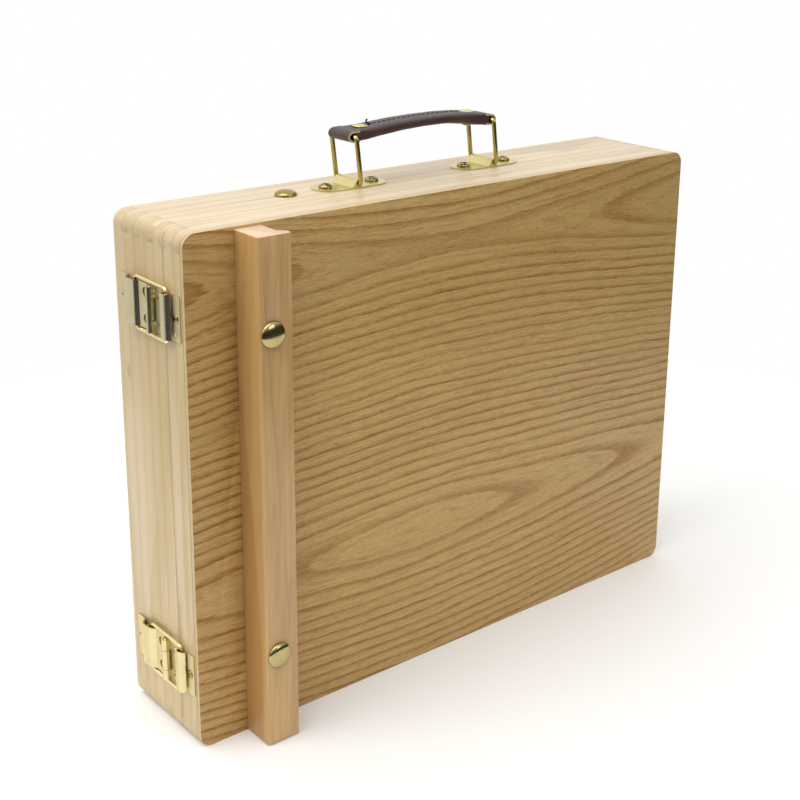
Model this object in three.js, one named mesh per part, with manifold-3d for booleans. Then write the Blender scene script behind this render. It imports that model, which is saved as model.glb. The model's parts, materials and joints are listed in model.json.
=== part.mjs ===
// Wooden sketch-box easel: a shallow case that stands on its long edge, with a hinged
// front lid, a canvas ledge bolted to the lid, two draw latches and a leather handle.
//
// Units are millimetres, +Z up. The origin is the centre of the case's bottom face. The
// lid faces -Y, the latches are on the -X side and the hinges on the +X side.

import * as THREE from 'three';
import { mergeVertices } from 'three/addons/utils/BufferGeometryUtils.js';
import Module from 'manifold-3d';

const wasm = await Module();
wasm.setup();

// ---------------------------------------------------------------- driving dimensions

const WIDTH = 396.5;
const DEPTH = 76;
const HEIGHT = 310;
const CORNER = 8;
const WALL = 11;
const PANEL = 3;
const FINGER = 7;
const FIRST_FINGER_END = 10.5;
const SEAM = 21;
const SEAM_GAP = 0.3;
const GLUE_LINE = 0.06;
const CLEAR = 0.3;

const LEFT = -WIDTH / 2;
const RIGHT = WIDTH / 2;
const FRONT = -DEPTH / 2;
const BACK = DEPTH / 2;
const SEAM_Y = FRONT + SEAM;
const INNER_X = RIGHT - WALL;
const INNER_TOP = HEIGHT - WALL;

const SCREW_HOLE = 1.6;
const SCREW_DEPTH = 9;
const BOLT_RADIUS = 3;
const BOLT_HOLE = 3.25;

// ---------------------------------------------------------------- materials

const finish = (color, roughness, metalness) =>
  new THREE.MeshStandardMaterial({ color, roughness, metalness });

const PINE = finish(0xd6c49b, 0.6, 0);
const ASH = finish(0xb49a6e, 0.6, 0);
const PLY = finish(0xc9b184, 0.65, 0);
const BEECH = finish(0xbd8f5f, 0.5, 0);
const BRASS = finish(0xb3a763, 0.3, 1);
const PALE_BRASS = finish(0xcfc6a4, 0.3, 1);
const LEATHER = finish(0x4a3234, 0.55, 0);

// ---------------------------------------------------------------- solids

// A closed three.js geometry as a solid that can be joined and cut.
function solid(geometry) {
  const bare = geometry.clone();
  bare.deleteAttribute('normal');
  bare.deleteAttribute('uv');
  const merged = mergeVertices(bare, 1e-4);
  return new wasm.Manifold(new wasm.Mesh({
    numProp: 3,
    vertProperties: new Float32Array(merged.attributes.position.array),
    triVerts: new Uint32Array(merged.index.array),
  }));
}

// A solid back as a three.js geometry.
function geometryOf(body) {
  const mesh = body.getMesh();
  const geometry = new THREE.BufferGeometry();
  geometry.setAttribute('position', new THREE.BufferAttribute(mesh.vertProperties, 3));
  geometry.setIndex(new THREE.BufferAttribute(mesh.triVerts, 1));
  return geometry;
}

const join = (...bodies) => bodies.flat().reduce((whole, body) => whole.add(body));
const cut = (body, ...tools) => tools.flat().reduce((left, tool) => left.subtract(tool), body);

function block(x, y, z) {
  const box = new THREE.BoxGeometry(x[1] - x[0], y[1] - y[0], z[1] - z[0]);
  return solid(box.translate((x[0] + x[1]) / 2, (y[0] + y[1]) / 2, (z[0] + z[1]) / 2));
}

// A round bar along axis 'x', 'y' or 'z' from `from` to `to`, through the point `at`.
function rod(axis, radius, from, to, at, sides = 14) {
  const bar = new THREE.CylinderGeometry(radius, radius, to - from, sides);
  if (axis === 'x') bar.rotateZ(-Math.PI / 2);
  if (axis === 'z') bar.rotateX(Math.PI / 2);
  const middle = new THREE.Vector3(...at);
  middle[axis] = (from + to) / 2;
  return solid(bar.translate(middle.x, middle.y, middle.z));
}

// A profile of [x, y] points pulled along Z.
function pulledAlongZ(points, z) {
  const shape = new THREE.Shape(points.map(([x, y]) => new THREE.Vector2(x, y)));
  const prism = new THREE.ExtrudeGeometry(shape, { depth: z[1] - z[0], bevelEnabled: false });
  return solid(prism.translate(0, 0, z[0]));
}

// A shape drawn in X and Z, pulled along Y.
function pulledAlongY(shape, y, curveSegments = 9) {
  const depth = y[1] - y[0];
  const prism = new THREE.ExtrudeGeometry(shape, { depth, bevelEnabled: false, curveSegments });
  return solid(prism.rotateX(Math.PI / 2).translate(0, y[1], 0));
}

// A profile of [radius, height] points turned about Z, starting and ending on the axis.
function turned(points, sides = 16) {
  const profile = points.map(([radius, height]) => new THREE.Vector2(radius, height));
  return new THREE.LatheGeometry(profile, sides).rotateX(Math.PI / 2);
}

// The case's outline seen from the front.
function caseOutline() {
  const shape = new THREE.Shape();
  shape.moveTo(LEFT + CORNER, 0);
  shape.lineTo(RIGHT - CORNER, 0);
  shape.absarc(RIGHT - CORNER, CORNER, CORNER, -Math.PI / 2, 0);
  shape.lineTo(RIGHT, HEIGHT - CORNER);
  shape.absarc(RIGHT - CORNER, HEIGHT - CORNER, CORNER, 0, Math.PI / 2);
  shape.lineTo(LEFT + CORNER, HEIGHT);
  shape.absarc(LEFT + CORNER, HEIGHT - CORNER, CORNER, Math.PI / 2, Math.PI);
  shape.lineTo(LEFT, CORNER);
  shape.absarc(LEFT + CORNER, CORNER, CORNER, Math.PI, Math.PI * 1.5);
  return shape;
}

// ---------------------------------------------------------------- the model

const group = new THREE.Group();

function place(name, body, material, parent = group) {
  const geometry = body instanceof THREE.BufferGeometry ? body : geometryOf(body);
  const mesh = new THREE.Mesh(geometry, material);
  mesh.name = name;
  parent.add(mesh);
  return mesh;
}

// ---------------------------------------------------------------- where fittings go

const LATCH_HEIGHTS = { upper: 262.5, lower: 46.2 };
const LATCH_AXIS_Y = FRONT + 31.5;
const LATCH_SCREW_Y = 7.3;
const LATCH_SCREW_Z = 7.8;
const HOOK_SCREW_Y = -23.6;

const HINGE_HEIGHTS = { upper: 262.5, lower: 46.2 };

const HANDLE_Y = FRONT + 47;
const HANDLE_HALF_SPAN = 55;
const HANDLE_SCREW_X = 17.3;

const STAY_BOLT = { x: LEFT + 97.2, y: FRONT + 47 };

const LEDGE_BOLT_X = LEFT + 40;
const LEDGE_BOLT_HEIGHTS = { upper: 253.5, lower: 58.3 };

// ---------------------------------------------------------------- case and lid walls

// Box-jointed corners: finger by finger, from the front face back, the top and bottom
// boards own the corner, then the side boards.
function fingerSlots(from, to) {
  const slots = [];
  let start = 0;
  let ownedByBoards = true;
  for (let end = FIRST_FINGER_END; start < to; end += FINGER) {
    const y = [FRONT + Math.max(start, from), FRONT + Math.min(end, to)];
    if (y[1] > y[0]) slots.push({ y: [y[0] + GLUE_LINE / 2, y[1] - GLUE_LINE / 2], ownedByBoards });
    start = end;
    ownedByBoards = !ownedByBoards;
  }
  return slots;
}

// The four walls of a frame between two depths.
function frameWalls(from, to) {
  const depth = [FRONT + from + GLUE_LINE / 2, FRONT + to - GLUE_LINE / 2];
  const strip = WALL + GLUE_LINE;
  const columns = { left: [LEFT, LEFT + WALL], right: [RIGHT - WALL, RIGHT] };
  const rows = { bottom: [0, WALL], top: [INNER_TOP, HEIGHT] };
  const outline = pulledAlongY(caseOutline(), [FRONT, BACK]);
  const slots = fingerSlots(from, to);
  const walls = {};
  for (const [side, x] of Object.entries(columns)) {
    const fingers = slots.filter((slot) => !slot.ownedByBoards);
    walls[side] = join(
      block(x, depth, [strip, HEIGHT - strip]),
      fingers.map((slot) => block(x, slot.y, [0, HEIGHT])),
    ).intersect(outline);
  }
  for (const [side, z] of Object.entries(rows)) {
    const fingers = slots.filter((slot) => slot.ownedByBoards);
    walls[side] = join(
      block([LEFT + strip, RIGHT - strip], depth, z),
      fingers.map((slot) => block([LEFT, RIGHT], slot.y, z)),
    ).intersect(outline);
  }
  return walls;
}

const latchScrewSpots = Object.values(LATCH_HEIGHTS).flatMap((z) =>
  [-1, 1].flatMap((sideY) => [-1, 1].map((sideZ) =>
    ({ y: LATCH_AXIS_Y + sideY * LATCH_SCREW_Y, z: z + sideZ * LATCH_SCREW_Z }))));

const sideHole = ({ y, z }) =>
  rod('x', SCREW_HOLE, LEFT - 1, LEFT + SCREW_DEPTH, [0, y, z], 8);

const baseWalls = frameWalls(SEAM + SEAM_GAP / 2, DEPTH - PANEL);
const lidWalls = frameWalls(PANEL, SEAM - SEAM_GAP / 2);

place('base_left_wall', cut(baseWalls.left, latchScrewSpots.map(sideHole)), PINE);
place('base_right_wall', baseWalls.right, PINE);
place('base_bottom_wall', baseWalls.bottom, PINE);

const handleScrewXs = [-1, 1].flatMap((side) =>
  [-1, 1].map((end) => side * HANDLE_HALF_SPAN + end * HANDLE_SCREW_X));
const topHoles = handleScrewXs.map((x) =>
  rod('z', SCREW_HOLE, HEIGHT - SCREW_DEPTH, HEIGHT + 1, [x, HANDLE_Y, 0], 8));
const stayHole = rod('z', BOLT_HOLE, INNER_TOP - 1, HEIGHT + 1, [STAY_BOLT.x, STAY_BOLT.y, 0]);
place('base_top_wall', cut(baseWalls.top, topHoles, stayHole), PINE);

const hookHoles = Object.values(LATCH_HEIGHTS).map((z) =>
  sideHole({ y: LATCH_AXIS_Y + HOOK_SCREW_Y, z }));
place('lid_left_wall', cut(lidWalls.left, hookHoles), PINE);
place('lid_right_wall', lidWalls.right, PINE);
place('lid_top_wall', lidWalls.top, PINE);
place('lid_bottom_wall', lidWalls.bottom, PINE);

const facePanel = (y) => pulledAlongY(caseOutline(), y);
place('back_panel', facePanel([BACK - PANEL, BACK]), PLY);

const ledgeHoles = Object.values(LEDGE_BOLT_HEIGHTS).map((z) =>
  rod('y', BOLT_HOLE, FRONT - 40, FRONT + SEAM, [LEDGE_BOLT_X, 0, z]));
place('front_panel', cut(facePanel([FRONT, FRONT + PANEL]), ledgeHoles), ASH);

// ---------------------------------------------------------------- dividers in the case

const DIVIDER = 5;
const DIVIDER_DEPTH = [FRONT + 45, BACK - PANEL - CLEAR];
const SHELF_TOP = 203;

place('long_divider', block(
  [-INNER_X + CLEAR, INNER_X - CLEAR], DIVIDER_DEPTH, [SHELF_TOP - DIVIDER, SHELF_TOP],
), PLY);
place('short_divider', block(
  [-DIVIDER / 2, DIVIDER / 2], DIVIDER_DEPTH, [WALL + CLEAR, SHELF_TOP - DIVIDER - CLEAR],
), PLY);

// ---------------------------------------------------------------- threaded hardware

// A cross-slotted dome-headed wood screw, head towards +Z, under-head face at z = 0.
function screwGeometry(headRadius, headHeight, length) {
  const shank = SCREW_HOLE - CLEAR;
  const body = solid(turned([
    [0, -length], [shank, -length + 2], [shank, 0], [headRadius, 0],
    [headRadius, headHeight * 0.45], [headRadius * 0.8, headHeight * 0.85], [0, headHeight],
  ], 10));
  const arm = headRadius * 0.6;
  const slotWidth = headRadius * 0.11;
  const recess = [headHeight * 0.35, headHeight + 1];
  return geometryOf(cut(
    body,
    block([-arm, arm], [-slotWidth, slotWidth], recess),
    block([-slotWidth, slotWidth], [-arm, arm], recess),
  ));
}

// A carriage bolt with a low domed head, head towards +Z, under-head face at z = 0.
function carriageBolt(headRadius, headHeight, length) {
  const dome = [1, 0.9, 0.65, 0.35].map((part) =>
    [headRadius * part, headHeight * (0.25 + 0.75 * Math.sqrt(1 - part * part))]);
  return turned([
    [0, -length], [BOLT_RADIUS, -length], [BOLT_RADIUS, 0], [headRadius, 0],
    ...dome, [0, headHeight],
  ]);
}

const WASHER = { outer: 9, thickness: 1.2 };
const washer = () => cut(
  rod('z', WASHER.outer, 0, WASHER.thickness, [0, 0, 0], 20),
  rod('z', BOLT_HOLE, -1, WASHER.thickness + 1, [0, 0, 0]),
);

// A wing nut on the Z axis, its flat face at z = 0 and its wings towards -Z.
const WING_NUT = { hub: 5.5, tip: 4.4, height: 6.5, reach: 13, wing: 1.6, wingTop: 10 };
function wingNut() {
  const { hub, tip, height, reach, wing, wingTop } = WING_NUT;
  const cone = solid(turned([[0, -height], [tip, -height], [hub, 0], [0, 0]]));
  const outline = new THREE.Shape();
  outline.moveTo(-hub + 1, 2);
  outline.quadraticCurveTo(-reach - 1, 2.5, -reach, wingTop);
  outline.quadraticCurveTo(-hub - 1.5, wingTop, -tip, height - 0.5);
  outline.lineTo(tip, height - 0.5);
  outline.quadraticCurveTo(hub + 1.5, wingTop, reach, wingTop);
  outline.quadraticCurveTo(reach + 1, 2.5, hub - 1, 2);
  outline.closePath();
  const wings = new THREE.ExtrudeGeometry(outline, {
    depth: wing, bevelEnabled: false, curveSegments: 4,
  });
  wings.translate(0, 0, -wing / 2).rotateX(-Math.PI / 2);
  return cut(join(cone, solid(wings)), rod('z', BOLT_HOLE, -30, 1, [0, 0, 0]));
}

// ---------------------------------------------------------------- canvas ledge

const LEDGE = { left: 31.6, inner: 49.2, lip: 53.7, thickness: 23.3, lipBack: 15 };
const LEDGE_HEIGHT = [1, 308.6];
const LEDGE_EASE = 1;

const ledgeProfile = [
  [LEDGE.left, -GLUE_LINE], [LEDGE.left, -LEDGE.thickness + LEDGE_EASE],
  [LEDGE.left + LEDGE_EASE, -LEDGE.thickness], [LEDGE.lip - 0.6, -LEDGE.thickness],
  [LEDGE.lip, -LEDGE.lipBack - 4], [LEDGE.inner, -LEDGE.lipBack], [LEDGE.inner, -GLUE_LINE],
].map(([x, y]) => [LEFT + x, FRONT + y]);
place('ledge_bar', cut(pulledAlongZ(ledgeProfile, LEDGE_HEIGHT), ledgeHoles), BEECH);

const LEDGE_BOLT = { head: 7.65, dome: 3.1, length: 36.5 };
const LEDGE_NUT_Y = FRONT + PANEL + WASHER.thickness + 2 * CLEAR;

for (const [end, z] of Object.entries(LEDGE_BOLT_HEIGHTS)) {
  const bolt = place(
    `ledge_bolt_${end}`, carriageBolt(LEDGE_BOLT.head, LEDGE_BOLT.dome, LEDGE_BOLT.length), BRASS,
  );
  bolt.position.set(LEDGE_BOLT_X, FRONT - LEDGE.thickness - GLUE_LINE, z);
  bolt.rotation.x = Math.PI / 2;

  const ring = place(`ledge_washer_${end}`, washer(), BRASS);
  ring.position.set(LEDGE_BOLT_X, FRONT + PANEL + CLEAR + WASHER.thickness, z);
  ring.rotation.x = Math.PI / 2;

  const nut = place(`ledge_wing_nut_${end}`, wingNut(), BRASS);
  nut.position.set(LEDGE_BOLT_X, LEDGE_NUT_Y, z);
  nut.rotation.x = Math.PI / 2;
}

// ---------------------------------------------------------------- swing-out stay arm

const STAY_ARM = { width: 14, thickness: 6, reach: 248, gap: 0.6 };
const STAY_HEAD = { radius: 6.75, dome: 3.4 };
const armTop = INNER_TOP - STAY_ARM.gap;
const armBottom = armTop - STAY_ARM.thickness;

function stayArm() {
  const radius = STAY_ARM.width / 2;
  const outline = new THREE.Shape();
  outline.absarc(0, 0, radius, Math.PI / 2, Math.PI * 1.5);
  outline.absarc(STAY_ARM.reach, 0, radius, -Math.PI / 2, Math.PI / 2);
  const hole = new THREE.Path().absarc(0, 0, BOLT_HOLE, 0, Math.PI * 2);
  outline.holes.push(hole);
  return new THREE.ExtrudeGeometry(outline, {
    depth: STAY_ARM.thickness, bevelEnabled: false, curveSegments: 8,
  });
}

const stay = new THREE.Group();
stay.position.set(STAY_BOLT.x, STAY_BOLT.y, 0);
group.add(stay);
place('stay_arm', stayArm(), BEECH, stay).position.z = armBottom;

const stayNutTop = armBottom - WASHER.thickness - 2 * CLEAR;
const STAY_BOLT_END = 9;
place('stay_bolt', carriageBolt(
  STAY_HEAD.radius, STAY_HEAD.dome, HEIGHT - stayNutTop + STAY_BOLT_END,
), BRASS, stay).position.z = HEIGHT + GLUE_LINE;
place('stay_washer', washer(), BRASS, stay).position.z = armBottom - CLEAR - WASHER.thickness;
place('stay_wing_nut', wingNut(), BRASS, stay).position.z = stayNutTop;

// ---------------------------------------------------------------- bent wire loops

// A closed rectangle of round wire in the plane of `along` and `across`, centred on the
// origin, with rounded corners.
class RoundedLoop extends THREE.Curve {
  constructor(along, across, corner) {
    super();
    const [a, b] = [along.length() / 2, across.length() / 2];
    const outline = new THREE.Shape();
    outline.absarc(a - corner, b - corner, corner, 0, Math.PI / 2);
    outline.absarc(-a + corner, b - corner, corner, Math.PI / 2, Math.PI);
    outline.absarc(-a + corner, -b + corner, corner, Math.PI, Math.PI * 1.5);
    outline.absarc(a - corner, -b + corner, corner, Math.PI * 1.5, Math.PI * 2);
    outline.closePath();
    this.outline = outline;
    this.unitAlong = along.clone().normalize();
    this.unitAcross = across.clone().normalize();
  }

  getPoint(t) {
    const flat = this.outline.getPointAt(t % 1);
    return this.unitAlong.clone().multiplyScalar(flat.x)
      .addScaledVector(this.unitAcross, flat.y);
  }
}

const wireLoop = (along, across, corner, radius, steps) =>
  new THREE.TubeGeometry(new RoundedLoop(along, across, corner), steps, radius, 6, true);

// ---------------------------------------------------------------- handle

const HANDLE_PLATE = {
  length: 51.5, width: 21.6, thickness: 0.8, barrel: 2.5, pivot: 3.2, ramp: 5.2,
};
const RING = {
  wire: 1.45, span: 25.2, height: 28.5, corner: 2.2, lean: THREE.MathUtils.degToRad(-7),
};
const HANDLE_SCREW = { head: 4.4, dome: 2.5, length: 8 };
const PIVOT_Z = HEIGHT + HANDLE_PLATE.pivot;

// The plate's rise from the left up to the barrel, and its steep drop on the right.
function rampOutline(low, ramp, barrel, pivot) {
  const shape = new THREE.Shape();
  shape.moveTo(-ramp, low);
  shape.lineTo(barrel * 0.9, low);
  shape.lineTo(barrel * 0.9, pivot - 1.2);
  shape.lineTo(-barrel * 0.7, pivot + barrel * 0.7);
  shape.closePath();
  return shape;
}

function handlePlate() {
  const { length, width, thickness, barrel, pivot, ramp } = HANDLE_PLATE;
  const radius = width / 2;
  const outline = new THREE.Shape();
  outline.absarc(-length / 2 + radius, 0, radius, Math.PI / 2, Math.PI * 1.5);
  outline.absarc(length / 2 - radius, 0, radius, -Math.PI / 2, Math.PI / 2);
  const plate = new THREE.ExtrudeGeometry(outline, {
    depth: thickness, bevelEnabled: false, curveSegments: 8,
  });
  return cut(
    join(
      solid(plate.translate(0, 0, GLUE_LINE)),
      rod('y', barrel, -radius, radius, [0, 0, pivot]),
      pulledAlongY(rampOutline(thickness / 2, ramp, barrel, pivot), [-radius, radius]),
    ),
    rod('y', RING.wire + CLEAR, -radius - 1, radius + 1, [0, 0, pivot], 12),
    [-1, 1].map((side) => rod('z', SCREW_HOLE, -1, 3, [side * HANDLE_SCREW_X, 0, 0], 8)),
  );
}

for (const [side, name] of [[-1, 'left'], [1, 'right']]) {
  const mount = new THREE.Group();
  mount.position.set(side * HANDLE_HALF_SPAN, HANDLE_Y, HEIGHT);
  group.add(mount);
  place(`handle_plate_${name}`, handlePlate(), BRASS, mount);

  for (const [end, edge] of [[-1, 'outer'], [1, 'inner']]) {
    const screw = place(
      `handle_screw_${name}_${edge}`,
      screwGeometry(HANDLE_SCREW.head, HANDLE_SCREW.dome, HANDLE_SCREW.length), BRASS, mount,
    );
    screw.position.set(-side * end * HANDLE_SCREW_X, 0, HANDLE_PLATE.thickness + 2 * GLUE_LINE);
  }

  const swing = new THREE.Group();
  swing.position.z = HANDLE_PLATE.pivot;
  swing.rotation.y = RING.lean;
  mount.add(swing);
  const loop = wireLoop(
    new THREE.Vector3(0, RING.span, 0), new THREE.Vector3(0, 0, RING.height),
    RING.corner, RING.wire, 44,
  );
  place(`handle_ring_${name}`, loop.translate(0, 0, RING.height / 2), BRASS, swing);
}

// The strap wraps both ring tops and arches between them.
const ringTop = {
  x: Math.sin(RING.lean) * RING.height,
  z: PIVOT_Z + Math.cos(RING.lean) * RING.height,
};
const STRAP = {
  width: 20.4, eye: 3.4, end: 4.4, arch: 3.5, peak: 12, top: 3.2, hole: RING.wire + 0.35,
};
const RIVET = {
  inset: 12, head: 4.8, rim: 0.7, shank: 1.6,
  low: { left: -3.5, right: -3.35 }, top: { left: 4.65, right: 5.75 },
};

function strap() {
  const { eye, end, arch, width, peak, top, hole } = STRAP;
  const reach = HANDLE_HALF_SPAN;
  const [under, over] = [arch - eye, arch + top];
  const outline = new THREE.Shape();
  outline.moveTo(-reach, -eye);
  outline.bezierCurveTo(-reach * 0.5, -eye, peak - 38, under, peak, under);
  outline.bezierCurveTo(peak + 20, under, reach * 0.62, -eye, reach, -eye);
  outline.bezierCurveTo(reach + end * 0.7, -eye, reach + end, -eye * 0.6, reach + end, 0);
  outline.bezierCurveTo(reach + end, eye * 0.7, reach + end * 0.6, eye, reach, eye);
  outline.bezierCurveTo(reach * 0.8, arch * 0.4 + eye, peak + 26, over, peak, over);
  outline.bezierCurveTo(peak - 36, over, -reach * 0.66, eye + arch * 0.25, -reach, eye);
  outline.bezierCurveTo(-reach - end * 0.6, eye, -reach - end, eye * 0.7, -reach - end, 0);
  outline.bezierCurveTo(-reach - end, -eye * 0.6, -reach - end * 0.7, -eye, -reach, -eye);
  const body = pulledAlongY(outline, [-width / 2, width / 2], 7);
  const eyes = [-1, 1].map((side) => rod('y', hole, -width, width, [side * reach, 0, 0], 12));
  const rivetHoles = [-1, 1].map((side) =>
    rod('z', RIVET.shank + CLEAR, -20, 20, [side * (reach - RIVET.inset), 0, 0], 10));
  return cut(body, eyes, rivetHoles);
}

const grip = new THREE.Group();
grip.position.set(ringTop.x, HANDLE_Y, ringTop.z);
group.add(grip);
place('handle_strap', strap(), LEATHER, grip);

// A tubular rivet: a head above the strap, a shank and a smaller clinched end below.
const rivet = (low, top) => turned([
  [0, low - RIVET.rim], [RIVET.head * 0.7, low - RIVET.rim], [RIVET.head * 0.7, low],
  [RIVET.shank, low], [RIVET.shank, top], [RIVET.head, top],
  [RIVET.head * 0.85, top + RIVET.rim], [0, top + RIVET.rim],
]);
for (const [side, name] of [[-1, 'left'], [1, 'right']]) {
  const body = rivet(RIVET.low[name], RIVET.top[name]);
  place(`strap_rivet_${name}`, body, BRASS, grip).position.x =
    side * (HANDLE_HALF_SPAN - RIVET.inset);
}

// ---------------------------------------------------------------- draw latches

// Each latch is built around its lever axis: x is minus the height above the wood, y runs
// to the back of the case and z is up.
const LATCH = {
  halfHeight: 13.2, plate: 0.8, axisHeight: 3.4, knuckle: 2.3, knuckleSplit: 6.45, pin: 1,
  wire: 1.1, loopHalf: 15.2,
};
const LOOP_BACK = { y: 18.1, height: 2 };
const LOOP_FRONT = { y: -16, height: 2.1 };
const LOOP_CORNER = 2.8;

// The base plate's depth, and the fold that carries its knuckles.
const BASE_PLATE = { y: [-9.7, 13], fold: [-1.6, 1.6] };

// The lever's sheet metal, as [y, height] along its lower and its upper face.
const LEVER_START = 3.3;
const LEVER_UNDER = [
  [14.6, 1.25], [16.3, 3.6], [21, 4.3], [25, 4.2], [27.9, 0.9], [29.3, 0.3], [36.8, 0.2],
];
const LEVER_OVER = [
  [36.8, 1], [29.7, 1.1], [28.5, 1.5], [25.4, 5], [20.9, 5.15], [15.7, 4.35], [14, 2.05],
];
const LEVER_FLAT = [1.25, 2.05];
const KEEPER = { y: [20.4, 21.2], height: [1, 4.6] };
const WINDOW = 2.9;
const THUMB_HOLE = { y: 35.4, radius: 0.9 };

// The hook's sheet metal: a plate on the lid, a stem behind the loop's front bar, and a
// hood over the bar that curls down in front of it.
const HOOK_INSET = 0.2;
const HOOK_OUTER = [
  [-27.6, GLUE_LINE], [-14.4, GLUE_LINE], [-13.6, 0.9], [-13.6, 4.6], [-14.3, 5.2],
  [-16.4, 5.25], [-18.3, 4.75], [-19.6, 3.75], [-20.4, 2.3], [-20.5, 1.9],
];
const HOOK_INNER = [
  [-19.7, 1.9], [-19.6, 2.3], [-19, 3.3], [-17.9, 4.15], [-16.4, 4.5], [-14.4, 4.45],
  [-14.4, GLUE_LINE + LATCH.plate], [-27.6, GLUE_LINE + LATCH.plate],
];
const LATCH_SCREW = { head: 2.3, dome: 1.1, length: 7.5 };
const HOOK_SCREW = { head: 2.6, dome: 1.4, length: 7.5 };
const KNUCKLE_GAP = CLEAR / 2;

const profile = (points, z) => pulledAlongZ(points.map(([y, height]) => [-height, y]), z);
const band = (y, height, z) => block([-height[1], -height[0]], y, z);
const barrel = (z) => rod('z', LATCH.knuckle, z[0], z[1], [-LATCH.axisHeight, 0, 0]);
const bore = () => rod('z', LATCH.pin + 0.2, -30, 30, [-LATCH.axisHeight, 0, 0], 10);

function latchBase() {
  const { halfHeight, plate, axisHeight, knuckleSplit } = LATCH;
  const sheet = [GLUE_LINE, GLUE_LINE + plate];
  const ears = [[-halfHeight, -knuckleSplit], [knuckleSplit, halfHeight]];
  const body = join(
    band(BASE_PLATE.y, sheet, [-halfHeight, halfHeight]),
    ears.map(barrel),
    ears.map((z) => band(BASE_PLATE.fold, [plate / 2, axisHeight - LATCH.pin], z)),
  );
  const holes = [-1, 1].flatMap((sideY) => [-1, 1].map((sideZ) =>
    rod('x', SCREW_HOLE, -3, 1, [0, sideY * LATCH_SCREW_Y, sideZ * LATCH_SCREW_Z], 8)));
  return cut(body, bore(), holes);
}

// The lever's plate lies on the base, humps over the loop's back bar and drops to a thumb
// end on the wood. It leaves two windows over the base plate's back screws.
function latchLever() {
  const { halfHeight, knuckle, knuckleSplit } = LATCH;
  const middle = [-knuckleSplit + 2 * KNUCKLE_GAP, knuckleSplit - 2 * KNUCKLE_GAP];
  const full = [-halfHeight, halfHeight];
  const sheet = profile([
    [LEVER_START, LEVER_FLAT[0]], ...LEVER_UNDER, ...LEVER_OVER, [LEVER_START, LEVER_FLAT[1]],
  ], full);
  const tongue = band([0, knuckle + 1], LEVER_FLAT, middle);
  const keeper = band(KEEPER.y, KEEPER.height, full);
  const windows = [-1, 1].map((side) =>
    rod('x', WINDOW, -4, 0, [0, LATCH_SCREW_Y, side * LATCH_SCREW_Z], 12));
  const thumbHole = rod('x', THUMB_HOLE.radius, -4, 0, [0, THUMB_HOLE.y, 0], 6);
  return cut(join(sheet, tongue, barrel(middle), keeper), bore(), windows, thumbHole);
}

function latchLoop() {
  const along = new THREE.Vector3(
    LOOP_FRONT.height - LOOP_BACK.height, LOOP_BACK.y - LOOP_FRONT.y, 0,
  );
  const across = new THREE.Vector3(0, 0, 2 * LATCH.loopHalf);
  const loop = wireLoop(along, across, LOOP_CORNER, LATCH.wire, 44);
  const middleHeight = (LOOP_FRONT.height + LOOP_BACK.height) / 2;
  return loop.translate(-middleHeight, (LOOP_BACK.y + LOOP_FRONT.y) / 2, 0);
}

function latchHook() {
  const reach = LATCH.halfHeight - HOOK_INSET;
  const hook = profile([...HOOK_OUTER, ...HOOK_INNER], [-reach, reach]);
  return cut(hook, rod('x', SCREW_HOLE, -3, 1, [0, HOOK_SCREW_Y, 0], 8));
}

for (const [level, z] of Object.entries(LATCH_HEIGHTS)) {
  const latch = new THREE.Group();
  latch.position.set(LEFT, LATCH_AXIS_Y, z);
  group.add(latch);
  place(`latch_base_${level}`, latchBase(), PALE_BRASS, latch);
  place(`latch_lever_${level}`, latchLever(), PALE_BRASS, latch);
  place(`latch_loop_${level}`, latchLoop(), BRASS, latch);
  place(`latch_hook_${level}`, latchHook(), PALE_BRASS, latch);
  place(`latch_pin_${level}`, rod(
    'z', LATCH.pin, -LATCH.halfHeight, LATCH.halfHeight, [-LATCH.axisHeight, 0, 0], 10,
  ), PALE_BRASS, latch);

  const onPlate = -LATCH.plate - 2 * GLUE_LINE;
  const spots = [
    ['front_low', -1, -1], ['front_high', -1, 1], ['back_low', 1, -1], ['back_high', 1, 1],
  ];
  for (const [corner, sideY, sideZ] of spots) {
    const screw = place(
      `latch_screw_${level}_${corner}`,
      screwGeometry(LATCH_SCREW.head, LATCH_SCREW.dome, LATCH_SCREW.length), BRASS, latch,
    );
    screw.position.set(onPlate, sideY * LATCH_SCREW_Y, sideZ * LATCH_SCREW_Z);
    screw.rotation.y = -Math.PI / 2;
  }
  const hookScrew = place(
    `hook_screw_${level}`,
    screwGeometry(HOOK_SCREW.head, HOOK_SCREW.dome, HOOK_SCREW.length), BRASS, latch,
  );
  hookScrew.position.set(onPlate, HOOK_SCREW_Y, 0);
  hookScrew.rotation.y = -Math.PI / 2;
}

// ---------------------------------------------------------------- lid hinges

const HINGE = { halfLength: 20, leaf: 14, thickness: 1, axisHeight: 2.7, knuckle: 2.3, split: 6.6 };

// One leaf of a hinge; `side` is -1 for the lid's leaf and 1 for the case's.
function hingeLeaf(side, knuckles) {
  const { halfLength, leaf, thickness, axisHeight, knuckle } = HINGE;
  const edges = [side * (knuckle + 0.4), side * leaf].sort((a, b) => a - b);
  const web = [0, side * (knuckle + 1)].sort((a, b) => a - b);
  const sheet = [GLUE_LINE, GLUE_LINE + thickness];
  return cut(
    join(
      block(sheet, edges, [-halfLength, halfLength]),
      knuckles.map((z) => block([sheet[0] + 0.4, sheet[1] + 0.4], web, z)),
      knuckles.map((z) => rod('z', knuckle, z[0], z[1], [axisHeight, 0, 0])),
    ),
    rod('z', LATCH.pin + 0.2, -30, 30, [axisHeight, 0, 0], 10),
  );
}

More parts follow.
